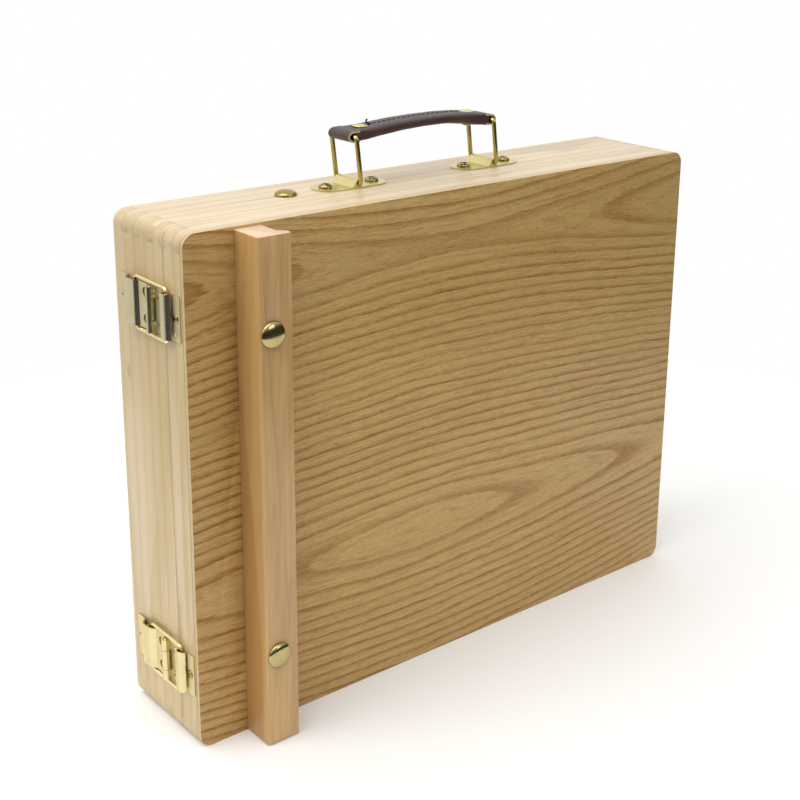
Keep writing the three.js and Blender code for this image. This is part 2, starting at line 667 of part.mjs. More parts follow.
for (const [level, z] of Object.entries(HINGE_HEIGHTS)) {
  const { halfLength, split, axisHeight } = HINGE;
  const hinge = new THREE.Group();
  hinge.position.set(RIGHT, SEAM_Y, z);
  group.add(hinge);
  place(`hinge_base_leaf_${level}`, hingeLeaf(
    1, [[-halfLength, -split], [split, halfLength]],
  ), PALE_BRASS, hinge);
  place(`hinge_lid_leaf_${level}`, hingeLeaf(
    -1, [[-split + CLEAR, split - CLEAR]],
  ), PALE_BRASS, hinge);
  place(`hinge_pin_${level}`, rod(
    'z', LATCH.pin, -halfLength, halfLength, [axisHeight, 0, 0], 10,
  ), PALE_BRASS, hinge);
}

export default group;
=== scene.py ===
"""Looks for the wooden sketch-box easel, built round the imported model.

Everything is in metres in the model's own frame. The small fittings are drawn in
millimetres about their own axis; `add_piece` scales them and puts them in place.
"""

import json
import math
import random

import bmesh
import bpy
from mathutils import Matrix, Vector
from mathutils.geometry import tessellate_polygon


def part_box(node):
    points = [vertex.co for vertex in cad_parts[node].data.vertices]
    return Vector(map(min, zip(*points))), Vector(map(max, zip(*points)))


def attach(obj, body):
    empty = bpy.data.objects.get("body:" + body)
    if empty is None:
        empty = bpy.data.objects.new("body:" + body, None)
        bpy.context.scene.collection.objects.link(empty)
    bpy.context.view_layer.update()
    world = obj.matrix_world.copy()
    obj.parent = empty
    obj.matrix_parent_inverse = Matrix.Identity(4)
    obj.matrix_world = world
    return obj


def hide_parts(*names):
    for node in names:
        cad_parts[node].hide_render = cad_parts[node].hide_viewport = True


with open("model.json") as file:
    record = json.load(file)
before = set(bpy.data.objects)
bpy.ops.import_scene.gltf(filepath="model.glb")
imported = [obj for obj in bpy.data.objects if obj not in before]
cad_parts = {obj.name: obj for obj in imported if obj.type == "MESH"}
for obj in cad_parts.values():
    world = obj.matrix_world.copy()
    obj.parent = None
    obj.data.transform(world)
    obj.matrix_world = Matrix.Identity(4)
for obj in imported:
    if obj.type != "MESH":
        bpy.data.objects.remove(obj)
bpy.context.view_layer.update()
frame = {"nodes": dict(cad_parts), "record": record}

MM = 0.001

# Shared by the metal fittings, in millimetres: the air under a plate or a screw head, the
# thickness of sheet metal, and the radius of a screw's hole and of a pin's hole.
AIR = 0.06
PLATE = 0.8
SCREW_HOLE = 1.6
PIN_HOLE = 1.15

NODES = frame["nodes"]
BODY_OF = {
    node: body
    for body, nodes in frame["record"]["behaviour"]["bodies"].items()
    for node in nodes
}

case_low, case_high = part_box("front_panel")
LEFT, RIGHT = case_low.x, case_high.x
FRONT, HEIGHT = case_low.y, case_high.z


def middle(node):
    low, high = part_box(node)
    return (low + high) / 2


def add_object(name, data):
    thing = bpy.data.objects.new(name, data)
    bpy.context.scene.collection.objects.link(thing)
    return thing


# ---- camera and room


def add_camera():
    """A 63 mm lens to the left of the case and a little above it, leaning very slightly."""
    azimuth, elevation, roll = (math.radians(a) for a in (-40.25, 16.80, 0.87))
    back = Vector((
        math.sin(azimuth) * math.cos(elevation),
        -math.cos(azimuth) * math.cos(elevation),
        math.sin(elevation),
    ))
    right = back.cross(Vector((0, 0, 1))).normalized() * -1
    up = back.cross(right)
    leaning_right = right * math.cos(roll) + up * math.sin(roll)
    leaning_up = up * math.cos(roll) - right * math.sin(roll)
    camera = add_object("camera", bpy.data.cameras.new("camera"))
    camera.matrix_world = Matrix.Translation((-0.5557, -0.6671, 0.4931)) @ Matrix(
        (leaning_right, leaning_up, back)
    ).transposed().to_4x4()
    camera.data.lens = 63.28
    camera.data.sensor_width = 36
    camera.data.shift_x = -0.046
    camera.data.shift_y = -0.1284
    camera.data.clip_start = 0.01
    camera.data.clip_end = 50
    bpy.context.scene.camera = camera


def add_softbox(name, place, target, size, power):
    """A white rectangular area light at `place` that faces `target`."""
    light = bpy.data.lights.new(name, "AREA")
    light.shape = "RECTANGLE"
    light.size, light.size_y = size
    light.energy = power
    lamp = add_object(name, light)
    lamp.location = place
    direction = Vector(target) - Vector(place)
    lamp.rotation_euler = direction.to_track_quat("-Z", "Y").to_euler()


# The room's colour from straight down (0) through the horizon (0.5) to straight up (1), on
# the camera's side and on the far side of the object.
NEAR_ROOM = [
    (0.00, (0.16, 0.16, 0.17)),
    (0.42, (0.05, 0.05, 0.055)),
    (0.56, (0.07, 0.07, 0.075)),
    (0.72, (0.62, 0.61, 0.60)),
    (1.00, (0.95, 0.94, 0.92)),
]
FAR_ROOM = [
    (0.00, (0.56, 0.55, 0.52)),
    (0.44, (0.66, 0.66, 0.64)),
    (0.55, (0.78, 0.78, 0.77)),
    (0.64, (0.98, 0.98, 0.98)),
    (1.00, (1.05, 1.04, 1.02)),
]


def add_world():
    """White to the camera; to everything else a bright ceiling, a pale wall on the far
    side and a dim room on the camera's side."""
    world = bpy.data.worlds.new("studio")
    bpy.context.scene.world = world
    world.use_nodes = True
    tree = world.node_tree
    tree.nodes.clear()
    new, link = tree.nodes.new, tree.links.new

    place = new("ShaderNodeTexCoord")
    split = new("ShaderNodeSeparateXYZ")
    link(place.outputs["Generated"], split.inputs[0])

    scaled = new("ShaderNodeMapRange")
    scaled.inputs["From Min"].default_value = -1
    link(split.outputs["Z"], scaled.inputs["Value"])

    def elevation_ramp(stops):
        ramp = new("ShaderNodeValToRGB")
        ramp.color_ramp.interpolation = "EASE"
        elements = ramp.color_ramp.elements
        while len(elements) < len(stops):
            elements.new(0.5)
        for element, (position, colour) in zip(elements, stops):
            element.position = position
            element.color = (*colour, 1)
        link(scaled.outputs[0], ramp.inputs[0])
        return ramp.outputs[0]

    near_side = elevation_ramp(NEAR_ROOM)
    far_side = elevation_ramp(FAR_ROOM)
    side = new("ShaderNodeMapRange")
    side.interpolation_type = "SMOOTHSTEP"
    side.inputs["From Min"].default_value = -0.15
    side.inputs["From Max"].default_value = 0.5
    link(split.outputs["Y"], side.inputs["Value"])
    walls = new("ShaderNodeMix")
    walls.data_type = "RGBA"
    link(side.outputs[0], walls.inputs[0])
    link(near_side, walls.inputs[6])
    link(far_side, walls.inputs[7])

    room = new("ShaderNodeBackground")
    link(walls.outputs[2], room.inputs["Color"])
    seen = new("ShaderNodeBackground")
    seen.inputs["Color"].default_value = (1, 1, 1, 1)
    seen.inputs["Strength"].default_value = 1.0
    path = new("ShaderNodeLightPath")
    mix = new("ShaderNodeMixShader")
    link(path.outputs["Is Camera Ray"], mix.inputs[0])
    link(room.outputs[0], mix.inputs[1])
    link(seen.outputs[0], mix.inputs[2])
    output = new("ShaderNodeOutputWorld")
    link(mix.outputs[0], output.inputs[0])


def add_room():
    bpy.context.scene.view_settings.view_transform = "Standard"
    add_world()
    add_softbox("overhead", (-0.5, -0.15, 1.35), (0, 0, 0.15), (1.1, 1.0), 8.0)
    add_softbox("left", (-1.0, 0.15, 0.95), (0, 0, 0.2), (0.7, 0.7), 2.1)
    add_softbox("front", (0.3, -1.6, 0.95), (0, 0, 0.15), (0.8, 0.8), 3.4)


FLOOR_RADIUS = 0.62


def add_floor():
    """A round sheet of white paper under the object."""
    mesh = bpy.data.meshes.new("floor")
    bm = bmesh.new()
    bmesh.ops.create_circle(bm, cap_ends=True, radius=FLOOR_RADIUS, segments=96)
    bm.to_mesh(mesh)
    bm.free()
    floor = add_object("floor", mesh)
    paper = bpy.data.materials.new("paper")
    paper.use_nodes = True
    shader = paper.node_tree.nodes["Principled BSDF"]
    shader.inputs["Base Color"].default_value = (0.95, 0.95, 0.95, 1)
    shader.inputs["Roughness"].default_value = 0.9
    shader.inputs["Specular IOR Level"].default_value = 0.1
    mesh.materials.append(paper)


# ---- material formulas


class Wire:
    """A number in a material's graph. Arithmetic on it adds Math nodes."""

    def __init__(self, graph, socket):
        self.graph, self.socket = graph, socket

    def __add__(self, other):
        return self.graph.math("ADD", self, other)

    def __sub__(self, other):
        return self.graph.math("SUBTRACT", self, other)

    def __rsub__(self, other):
        return self.graph.math("SUBTRACT", other, self)

    def __mul__(self, other):
        return self.graph.math("MULTIPLY", self, other)

    def __truediv__(self, other):
        return self.graph.math("DIVIDE", self, other)

    def squared(self):
        return self * self

    def root(self):
        return self.graph.math("SQRT", self)

    def absolute(self):
        return self.graph.math("ABSOLUTE", self)

    def fraction(self):
        return self.graph.math("FRACT", self)

    def floor(self):
        return self.graph.math("FLOOR", self)

    def at_most(self, other):
        return self.graph.math("MINIMUM", self, other)

    def at_least(self, other):
        return self.graph.math("MAXIMUM", self, other)

    def smooth(self, start, end, low=0.0, high=1.0):
        """`low` up to `start`, `high` from `end` on, and a smooth step between."""
        if start > end:
            start, end, low, high = end, start, high, low
        step = self.graph.node("ShaderNodeMapRange")
        step.interpolation_type = "SMOOTHSTEP"
        step.inputs["From Min"].default_value = start
        step.inputs["From Max"].default_value = end
        step.inputs["To Min"].default_value = low
        step.inputs["To Max"].default_value = high
        self.graph.feed(step.inputs["Value"], self)
        return Wire(self.graph, step.outputs["Result"])


class Graph:
    """A material with one Principled shader and the formulas that feed it."""

    def __init__(self, name):
        self.material = bpy.data.materials.new(name)
        self.material.use_nodes = True
        self.tree = self.material.node_tree
        self.shader = self.tree.nodes["Principled BSDF"]
        coordinates = self.node("ShaderNodeTexCoord")
        self.place = coordinates.outputs["Object"]
        self.facing = coordinates.outputs["Normal"]

    def node(self, kind):
        return self.tree.nodes.new(kind)

    def feed(self, socket, value):
        if isinstance(value, Wire):
            self.tree.links.new(value.socket, socket)
        else:
            socket.default_value = value

    def math(self, operation, first, second=None):
        step = self.node("ShaderNodeMath")
        step.operation = operation
        self.feed(step.inputs[0], first)
        if second is not None:
            self.feed(step.inputs[1], second)
        return Wire(self, step.outputs[0])

    def split(self, socket):
        parts = self.node("ShaderNodeSeparateXYZ")
        self.tree.links.new(socket, parts.inputs[0])
        return [Wire(self, part) for part in parts.outputs]

    def millimetres(self):
        """The surface point in the model's frame, in millimetres."""
        return [part / MM for part in self.split(self.place)]

    def point(self, x, y, z=0.0):
        joined = self.node("ShaderNodeCombineXYZ")
        for socket, value in zip(joined.inputs, (x, y, z)):
            self.feed(socket, value)
        return joined.outputs[0]

    def noise(self, x, y, z, detail=2.0, roughness=0.5):
        """Smooth noise from 0 to 1, about 0.5, one blob to each unit of the coordinates."""
        cloud = self.node("ShaderNodeTexNoise")
        self.tree.links.new(self.point(x, y, z), cloud.inputs["Vector"])
        cloud.inputs["Scale"].default_value = 1.0
        cloud.inputs["Detail"].default_value = detail
        cloud.inputs["Roughness"].default_value = roughness
        return Wire(self, cloud.outputs["Fac"])

    def dice(self, number, seed):
        """A random number from 0 to 1 for each whole number."""
        throw = self.node("ShaderNodeTexWhiteNoise")
        throw.noise_dimensions = "2D"
        self.tree.links.new(self.point(number, seed), throw.inputs["Vector"])
        return Wire(self, throw.outputs["Value"])

    def mix(self, amount, first, second):
        """Colour `first` turning into `second` as `amount` goes from 0 to 1."""
        blend = self.node("ShaderNodeMix")
        blend.data_type = "RGBA"
        self.feed(blend.inputs[0], amount)
        for socket, colour in ((blend.inputs[6], first), (blend.inputs[7], second)):
            if isinstance(colour, tuple):
                socket.default_value = (*colour, 1)
            else:
                self.tree.links.new(colour, socket)
        return blend.outputs[2]

    def shade(self, colour, strength):
        """A colour made lighter or darker by the number `strength`."""
        scale = self.node("ShaderNodeVectorMath")
        scale.operation = "SCALE"
        self.tree.links.new(colour, scale.inputs[0])
        self.feed(scale.inputs["Scale"], strength)
        return scale.outputs[0]

    def finish(self, colour, roughness, height, depth, **fixed):
        """Connects the shader. `height` from 0 to 1 stands for `depth` millimetres."""
        self.tree.links.new(colour, self.shader.inputs["Base Color"])
        self.feed(self.shader.inputs["Roughness"], roughness)
        bump = self.node("ShaderNodeBump")
        bump.inputs["Distance"].default_value = depth * MM
        self.feed(bump.inputs["Height"], height)
        self.tree.links.new(bump.outputs[0], self.shader.inputs["Normal"])
        for socket, value in fixed.items():
            self.shader.inputs[socket.replace("_", " ")].default_value = value
        return self.material


def rgb(red, green, blue):
    """A colour given in screen values from 0 to 255, as light."""
    def light(value):
        part = value / 255
        return part / 12.92 if part <= 0.04045 else ((part + 0.055) / 1.055) ** 2.4
    return tuple(light(value) for value in (red, green, blue))


# ---- woods


def ash_veneer():
    """Flat-sawn ash. The growth rings are cones about a pith that lies behind the panel,
    so they close into long loops low on the panel and open towards its edges higher up."""
    g = Graph("ash_veneer")
    px, py, z = g.millimetres()
    x = px - LEFT / MM

    ring_width = 6.3
    pith_height, pith_depth, loop_middle = 92.5, 22, 160
    first_ring = 25.87
    saddle_height, saddle_middle, saddle_span = 278, 150, 244
    saddle_bow, saddle_gap = 17.4, 14.6
    arch_middle, arch_span, arch_rise = 175, 219, 0.17
    loop_span, loop_bow = 30, 1.87

    drift = (g.noise(x / 75, z / 22, 3.1) - 0.5) * 4.5
    ripple = (g.noise(x / 26, z / 7, 8.4) - 0.5) * 1.6
    z_drawn = z + drift + ripple

    saddle_reach = (x - saddle_middle) / saddle_span
    saddle_round = saddle_reach.squared() * saddle_bow + saddle_gap
    from_saddle = saddle_height - z_drawn
    folded = saddle_height - (from_saddle.squared() + saddle_round.squared()).root()
    arch = ((x - arch_middle) / arch_span).squared() * arch_rise + 1.0
    above_pith = (folded - pith_height) * arch
    along = (x - loop_middle) / loop_span
    depth = (along.squared() + 1.0).root() * loop_bow + (pith_depth - loop_bow)
    radius = (depth.squared() + above_pith.squared()).root()

    ragged_left = x.smooth(75, 0, 0.2, 0.5)
    torn = g.noise(x / 16, z / 0.6, 1.7, detail=4, roughness=0.65) - 0.5
    rings = (radius - first_ring) / ring_width + torn * ragged_left
    phase = (rings + 40).fraction()
    ring = (rings + 40).floor()

    early = phase.smooth(0.46, 0.0).at_least(phase.smooth(0.93, 1.0))
    strength = g.dice(ring, 4.0) * 0.4 + 0.5
    broken = g.noise(x / 42, z / 2.2, 5.2).smooth(0.3, 0.62, 0.6, 1.0)
    minor = (rings * 2.6 + g.noise(x / 60, z / 9, 4.4) * 2).fraction().smooth(0.5, 0.0)
    minor = minor * g.noise(x / 50, z / 5, 2.9).smooth(0.4, 0.7, 0.06, 0.42)
    left_of_ledge = x.smooth(38, 28)
    dark = (early * strength * broken).at_least(minor) * (left_of_ledge * 0.3 + 1.0)

    fibre = g.noise(x / 13, z / 0.6, 9.3, detail=4, roughness=0.75)
    pore = g.noise(x / 4.2, z / 0.5, 2.2, detail=2).smooth(0.55, 0.65)
    pores = pore * (dark * 0.85 + 0.34)
    tone = g.noise(x / 160, z / 70, 6.6)

    wood = g.mix(tone.smooth(0.25, 0.75), rgb(191, 157, 96), rgb(199, 166, 105))
    wood = g.mix((dark * 0.95).at_most(1.0), wood, rgb(145, 95, 31))
    wood = g.mix((pores * 0.7).at_most(1.0), wood, rgb(118, 74, 26))
    wood = g.shade(wood, fibre.smooth(0.25, 0.75, 0.8, 1.17))
    wood = g.mix(left_of_ledge * 0.14, wood, rgb(168, 112, 30))

    # The edge of the panel is a thin veneer, a pale core and a dark line of glue. Its pale colour
    # is partly a painted highlight, standing in for the light on the panel's rounded edge.
    facing = g.split(g.facing)[1].absolute()
    inside = py - FRONT / MM
    edge = g.mix(g.noise(x / 9, z / 9, inside / 0.3).smooth(0.3, 0.7),
                 rgb(214, 194, 154), rgb(198, 172, 128))
    glue = inside.smooth(2.3, 2.75)
    edge = g.mix(glue * 0.8, edge, rgb(120, 88, 52))
    wood = g.mix(facing.smooth(0.45, 0.75), edge, wood)

    grooves = dark * -0.25 - pores + fibre * 0.3
    return g.finish(
        wood, (dark * 0.12 + 0.46).at_most(0.7), grooves, depth=0.06,
        Specular_IOR_Level=0.35, Coat_Weight=0.05, Coat_Roughness=0.35,
    )


def pine(name, grain_axis, seed, deep, pale, knots=()):
    """Straight pine with its grain along X (0) or Z (2): soft amber lines, a few needle
    flecks, and growth-ring arcs where the end of a board shows. `knots` on the left half
    of the case are given as depth, place along the grain and half sizes, in mm."""
    g = Graph(name)
    place = g.millimetres()
    along = place[grain_axis]
    across = place[2 - grain_axis]
    depth = place[1] - FRONT / MM

    sway = (g.noise(along / 130, depth / 18, seed) - 0.5) * 5.0
    sway = sway + (g.noise(along / 38, depth / 6, seed + 3) - 0.5) * 1.3
    rings = (depth + sway + across * 0.05 - 11.3) / 10.6
    fine_rings = rings * 3.1 + g.noise(along / 200, depth / 11, seed + 9) * 1.4
    phase = (rings + 40).fraction()
    late = phase.smooth(0.66, 0.97) * phase.smooth(1.0, 0.97)
    late = late.at_least(phase.smooth(0.16, 0.0) * 0.8)
    fine = (fine_rings + 90).fraction().smooth(0.4, 1.0)
    strength = g.noise(along / 90, depth / 7, seed + 5).smooth(0.25, 0.7, 0.4, 1.0)
    line = late * strength * 0.5 + fine * 0.13

    fibre = g.noise(along / 30, depth / 0.45, across / 0.45, detail=3, roughness=0.6)
    tone = g.noise(along / 120, depth / 26, seed + 1)
    fleck = g.noise(along / 3.2, depth / 0.4, across / 0.4 + seed, detail=1).smooth(0.68, 0.76)

    wood = g.mix(tone.smooth(0.3, 0.7), deep, pale)
    wood = g.mix(line, wood, rgb(190, 150, 96))
    wood = g.mix(fleck * 0.3, wood, rgb(160, 116, 70))
    wood = g.shade(wood, fibre.smooth(0.2, 0.8, 0.95, 1.04))
    for knot_depth, knot_along, half_depth, half_along in knots:
        off_depth = (depth - knot_depth) / half_depth
        off_along = (along - knot_along) / half_along
        knot = (off_depth.squared() + off_along.squared()).root().smooth(1.0, 0.1)
        wood = g.mix(knot * place[0].smooth(0, -9, 0.0, 0.42), wood, rgb(152, 104, 66))

    # End grain: rings about a pith well below the board, darker and duller.
    pith = (depth - 30).squared() + (across - across.floor() + 55).squared()
    end_rings = (pith.root() / 2.6 + g.noise(depth / 6, across / 6, seed) * 0.8).fraction()
    end = g.mix(end_rings.smooth(0.45, 1.0) * 0.5, rgb(206, 184, 142), rgb(188, 162, 118))
    grit = g.noise(depth / 0.35, across / 0.35, along / 0.35, detail=2)
    end = g.shade(end, grit.smooth(0.25, 0.75, 0.9, 1.05))
    facing_end = g.split(g.facing)[grain_axis].absolute().smooth(0.55, 0.8)
    wood = g.mix(facing_end, wood, end)

    relief = fibre * 0.4 - line * 0.3 - fleck * 0.5
    return g.finish(
        wood, facing_end * 0.15 + 0.38 + fibre * 0.06, relief, depth=0.07,
        Coat_Weight=0.3, Coat_Roughness=0.16,
    )


def beech():
    """Orange-tan ledge wood. A pale band of sapwood sweeps down its left face."""
    g = Graph("beech")
    px, py, pz = g.millimetres()
    x = px - LEFT / MM
    proud = FRONT / MM - py

    sway = (g.noise(pz / 110, x / 16, proud / 16) - 0.5) * 9
    band = (x * 0.8 + proud * 0.35 + sway - pz * 0.028) / 3.4
    line = (band + 60).fraction().smooth(0.3, 1.0)
    streak = g.noise(pz / 60, x / 2.2, proud / 2.2, detail=3, roughness=0.6)
    fibre = g.noise(pz / 16, x / 0.4, proud / 0.4, detail=3)
    ray = g.noise(pz / 2.2, x / 0.35, proud / 0.35, detail=1).smooth(0.64, 0.74)

    low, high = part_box("ledge_bar")
    thickness = (high.y - low.y) / MM
    sweep = (pz / 235).at_least(0.0).squared() * 19 + 4.5
    sapwood = (thickness - proud) - sweep + (streak - 0.5) * 3
    pale = sapwood.smooth(0.6, -1.2)
    left_side = g.split(g.facing)[0].smooth(-0.8, -0.6)
    front_tone = g.noise(pz / 70, x / 9, 4.4).smooth(0.35, 0.65)

    left_face = g.mix(pale, rgb(188, 143, 83), rgb(200, 160, 99))
    front_face = g.mix(front_tone, rgb(194, 156, 102), rgb(206, 170, 114))
    wood = g.mix(left_side, left_face, front_face)
    wood = g.mix(streak.smooth(0.35, 0.8) * 0.3, wood, rgb(182, 128, 82))
    wood = g.mix(line * 0.16, wood, rgb(170, 118, 72))
    wood = g.mix(ray * 0.25, wood, rgb(150, 98, 60))
    wood = g.shade(wood, fibre.smooth(0.2, 0.8, 0.95, 1.04))

    end_grain = g.split(g.facing)[2].absolute().smooth(0.6, 0.85)
    pith = ((x - 70).squared() + (proud + 24).squared()).root() / 2.1
    end = g.mix(pith.fraction().smooth(0.4, 1.0) * 0.45, rgb(222, 194, 160), rgb(196, 154, 116))
    wood = g.mix(end_grain, wood, end)
    return g.finish(
        wood, fibre * 0.08 + 0.36, fibre * 0.4 - ray * 0.4, depth=0.06,
        Coat_Weight=0.25, Coat_Roughness=0.2,
    )


def plywood():
    """Thin birch ply for the back and dividers, its face grain running sideways."""
    g = Graph("plywood")
    px, py, pz = g.millimetres()
    drift = (g.noise(px / 120, pz / 30, 1.5) - 0.5) * 9
    swirl = g.noise(px / 55, (pz + drift) / 9, 7.7, detail=2)
    bands = ((pz + drift) / 14 + swirl * 0.7 + 40).fraction().smooth(0.35, 1.0)
    fibre = g.noise(px / 14, pz / 0.5, py / 0.5, detail=3)
    fleck = g.noise(px / 2.6, pz / 0.35, 3.3, detail=1).smooth(0.66, 0.76)
    wood = g.mix(bands * 0.28, rgb(226, 200, 154), rgb(204, 168, 116))
    wood = g.mix(fleck * 0.35, wood, rgb(164, 122, 76))
    wood = g.shade(wood, fibre.smooth(0.2, 0.8, 0.94, 1.05))
    ply = (py / 0.95 + 60).fraction().smooth(0.46, 0.54)
    edge = g.mix(ply, rgb(222, 200, 160), rgb(204, 176, 132))
    facing = g.split(g.facing)[1].absolute().smooth(0.45, 0.75)
    wood = g.mix(facing, edge, wood)
    return g.finish(wood, fibre * 0.1 + 0.46, fibre * 0.4 - fleck * 0.4, depth=0.07)


# ---- metals and leather


def brass(name, plain, tarnish, gloss, rubbed=0.0):
    """Plated steel: faint drawing lines, light tarnish and a few fine dents. `rubbed` is
    how much rougher the faces are that look straight out of the side of the case."""
    g = Graph(name)
    x, y, z = g.millimetres()
    cloud = g.noise(x / 9, y / 9, z / 9, detail=2)
    scratch = g.noise(x / 0.9, y / 0.22, z / 6, detail=2)
    dent = g.noise(x / 2.2, y / 2.2, z / 2.2, detail=1)
    colour = g.mix(cloud.smooth(0.35, 0.75) * 0.4, plain, tarnish)
    colour = g.shade(colour, scratch.smooth(0.2, 0.8, 0.96, 1.03))
    outward = g.split(g.facing)[0].absolute().smooth(0.97, 0.995)
    roughness = cloud * 0.06 + scratch * 0.05 + outward * rubbed + gloss
    return g.finish(colour, roughness, scratch * 0.3 + dent, depth=0.006, Metallic=1.0)


def leather():
    """Smooth dark maroon leather with a fine pebble grain. Its upper side is painted greyer, a
    painted sheen.
    """
    g = Graph("leather")
    x, y, z = g.millimetres()
    cells = g.node("ShaderNodeTexVoronoi")
    cells.feature = "DISTANCE_TO_EDGE"
    g.tree.links.new(g.point(x / 0.75, y / 0.75, z / 0.75), cells.inputs["Vector"])
    cells.inputs["Scale"].default_value = 1.0
    pebble = Wire(g, cells.outputs["Distance"]).smooth(0.0, 0.16)
    crease = g.noise(x / 2.4, y / 9, z / 3, detail=4, roughness=0.65)
    cloud = g.noise(x / 14, y / 10, z / 10)
    colour = g.mix(cloud.smooth(0.3, 0.7), rgb(62, 36, 37), rgb(80, 49, 49))
    # Painted sheen: faces that look up are mixed towards grey, standing in for the sheen on the
    # strap's top.
    top_sheen = g.split(g.facing)[2].smooth(0.55, 0.9)
    colour = g.mix(top_sheen * 0.75, colour, rgb(50, 44, 40))
    colour = g.mix((1.0 - pebble) * 0.35, colour, rgb(38, 22, 23))
    return g.finish(
        colour, crease * 0.2 + 0.36, pebble * 0.5 + crease * 0.8, depth=0.08,
        Sheen_Weight=0.05, Coat_Weight=0.06, Coat_Roughness=0.35,
    )


def cut_leather():
    """The raw edge of the strap, pale and fibrous."""
    g = Graph("cut_leather")
    x, y, z = g.millimetres()
    fuzz = g.noise(x / 0.5, y / 0.5, z / 0.5, detail=3)
    colour = g.mix(fuzz.smooth(0.3, 0.7), rgb(216, 202, 172), rgb(176, 156, 126))
    return g.finish(colour, fuzz * 0.1 + 0.75, fuzz, depth=0.15)


def thread():
    """Twisted waxed thread."""
    g = Graph("thread")
    x, y, z = g.millimetres()
    twist = ((x + y + z) / 0.5).fraction().smooth(0.2, 0.9)
    colour = g.mix(twist, rgb(30, 20, 21), rgb(58, 40, 40))
    return g.finish(colour, twist * 0.1 + 0.55, twist, depth=0.08)


add_camera()
add_room()
add_floor()

ASH = ash_veneer()
PINE_SIDES = pine(
    "pine_sides", 2, 2.0, rgb(202, 178, 129), rgb(212, 190, 145), knots=[(66, 216, 3.5, 8)],
)
# Painted sheen: the top and bottom boards get a paler, greyer pine than the sides, standing in for
# the sheen on the top.
PINE_BOARDS = pine("pine_boards", 0, 14.0, rgb(208, 188, 154), rgb(218, 201, 170))
BEECH = beech()
PLYWOOD = plywood()
BRASS = brass("brass", rgb(198, 186, 112), rgb(158, 142, 76), 0.14)
PLATE_BRASS = brass("plate_brass", rgb(228, 216, 156), rgb(212, 200, 138), 0.26)
OLIVE_BRASS = brass("olive_brass", rgb(172, 156, 92), rgb(128, 114, 62), 0.14)
ZINC = brass("yellow_zinc", rgb(186, 174, 122), rgb(158, 142, 96), 0.1)
PALE_BRASS = brass("pale_brass", rgb(228, 214, 166), rgb(212, 196, 146), 0.18, 0.35)
# Painted reflection: a greyer copy of the pale brass for the upper latch, standing in for the grey
# room it reflects.
REFLECTION_GREYED_BRASS = brass("reflection_greyed_brass", rgb(226, 216, 180), rgb(210, 198, 160), 0.12, 0.35)
LOOP_BRASS = brass("loop_brass", rgb(246, 232, 176), rgb(232, 212, 146), 0.2)
LEATHER = leather()
CUT_LEATHER = cut_leather()
THREAD = thread()


# ---- shapes in millimetres


def revolved(points, sides):
    """A closed solid from (radius, height) points turned about Z; the ends are on the axis."""
    bm = bmesh.new()
    rows = []
    for radius, height in points:
        if radius == 0:
            rows.append([bm.verts.new((0, 0, height))])
            continue
        turns = [math.tau * step / sides for step in range(sides)]
        rows.append([
            bm.verts.new((radius * math.cos(a), radius * math.sin(a), height)) for a in turns
        ])
    for lower, upper in zip(rows, rows[1:]):
        for step in range(sides):
            after = (step + 1) % sides
            if len(lower) == 1:
                bm.faces.new((lower[0], upper[after], upper[step]))
            elif len(upper) == 1:
                bm.faces.new((lower[step], lower[after], upper[0]))
            else:
                bm.faces.new((lower[step], lower[after], upper[after], upper[step]))
    bmesh.ops.recalc_face_normals(bm, faces=bm.faces)
    return bm


def prism(outline, low, high, axes="xyz", holes=()):
    """An outline of 2-D points pulled from `low` to `high` along the third of `axes`."""
    order = ["xyz".index(axis) for axis in axes]

    def spot(point, level):
        values = [0.0, 0.0, 0.0]
        values[order[0]], values[order[1]] = point
        values[order[2]] = level
        return values

    bm = bmesh.new()
    rings = [list(outline), *map(list, holes)]
    flat = [[Vector((*point, 0)) for point in ring] for ring in rings]
    triangles = tessellate_polygon(flat)
    levels = []
    for level in (low, high):
        levels.append([bm.verts.new(spot(point, level)) for ring in rings for point in ring])
    for corners in triangles:
        for verts in levels:
            bm.faces.new([verts[corner] for corner in corners])
    first = 0
    for ring in rings:
        for step in range(len(ring)):
            here, after = first + step, first + (step + 1) % len(ring)
            bm.faces.new((levels[0][here], levels[0][after], levels[1][after], levels[1][here]))
        first += len(ring)
    bmesh.ops.recalc_face_normals(bm, faces=bm.faces)
    return bm


def tube(path, radius, sides, closed=False):
    """A round bar along a list of points."""
    points = [Vector(point) for point in path]
    count = len(points)
    bm = bmesh.new()
    rows, side = [], None
    for step, point in enumerate(points):
        before = points[step - 1] if closed or step else point
        after = points[(step + 1) % count] if closed or step < count - 1 else point
        ahead = (after - before).normalized()
        if side is None:
            side = ahead.orthogonal().normalized()
        side = (side - ahead * side.dot(ahead)).normalized()
        other = ahead.cross(side)
        turns = [math.tau * turn / sides for turn in range(sides)]
        rows.append([
            bm.verts.new(point + side * radius * math.cos(a) + other * radius * math.sin(a))
            for a in turns
        ])
    pairs = list(zip(rows, rows[1:]))
    if closed:
        shift = min(range(sides), key=lambda turn: (rows[0][turn].co - rows[-1][0].co).length)
        pairs.append((rows[-1], rows[0][shift:] + rows[0][:shift]))
    for lower, upper in pairs:
        for turn in range(sides):
            after = (turn + 1) % sides
            bm.faces.new((lower[turn], lower[after], upper[after], upper[turn]))
    if not closed:
        bm.faces.new(rows[0])
        bm.faces.new(rows[-1])
    bmesh.ops.recalc_face_normals(bm, faces=bm.faces)
    return bm


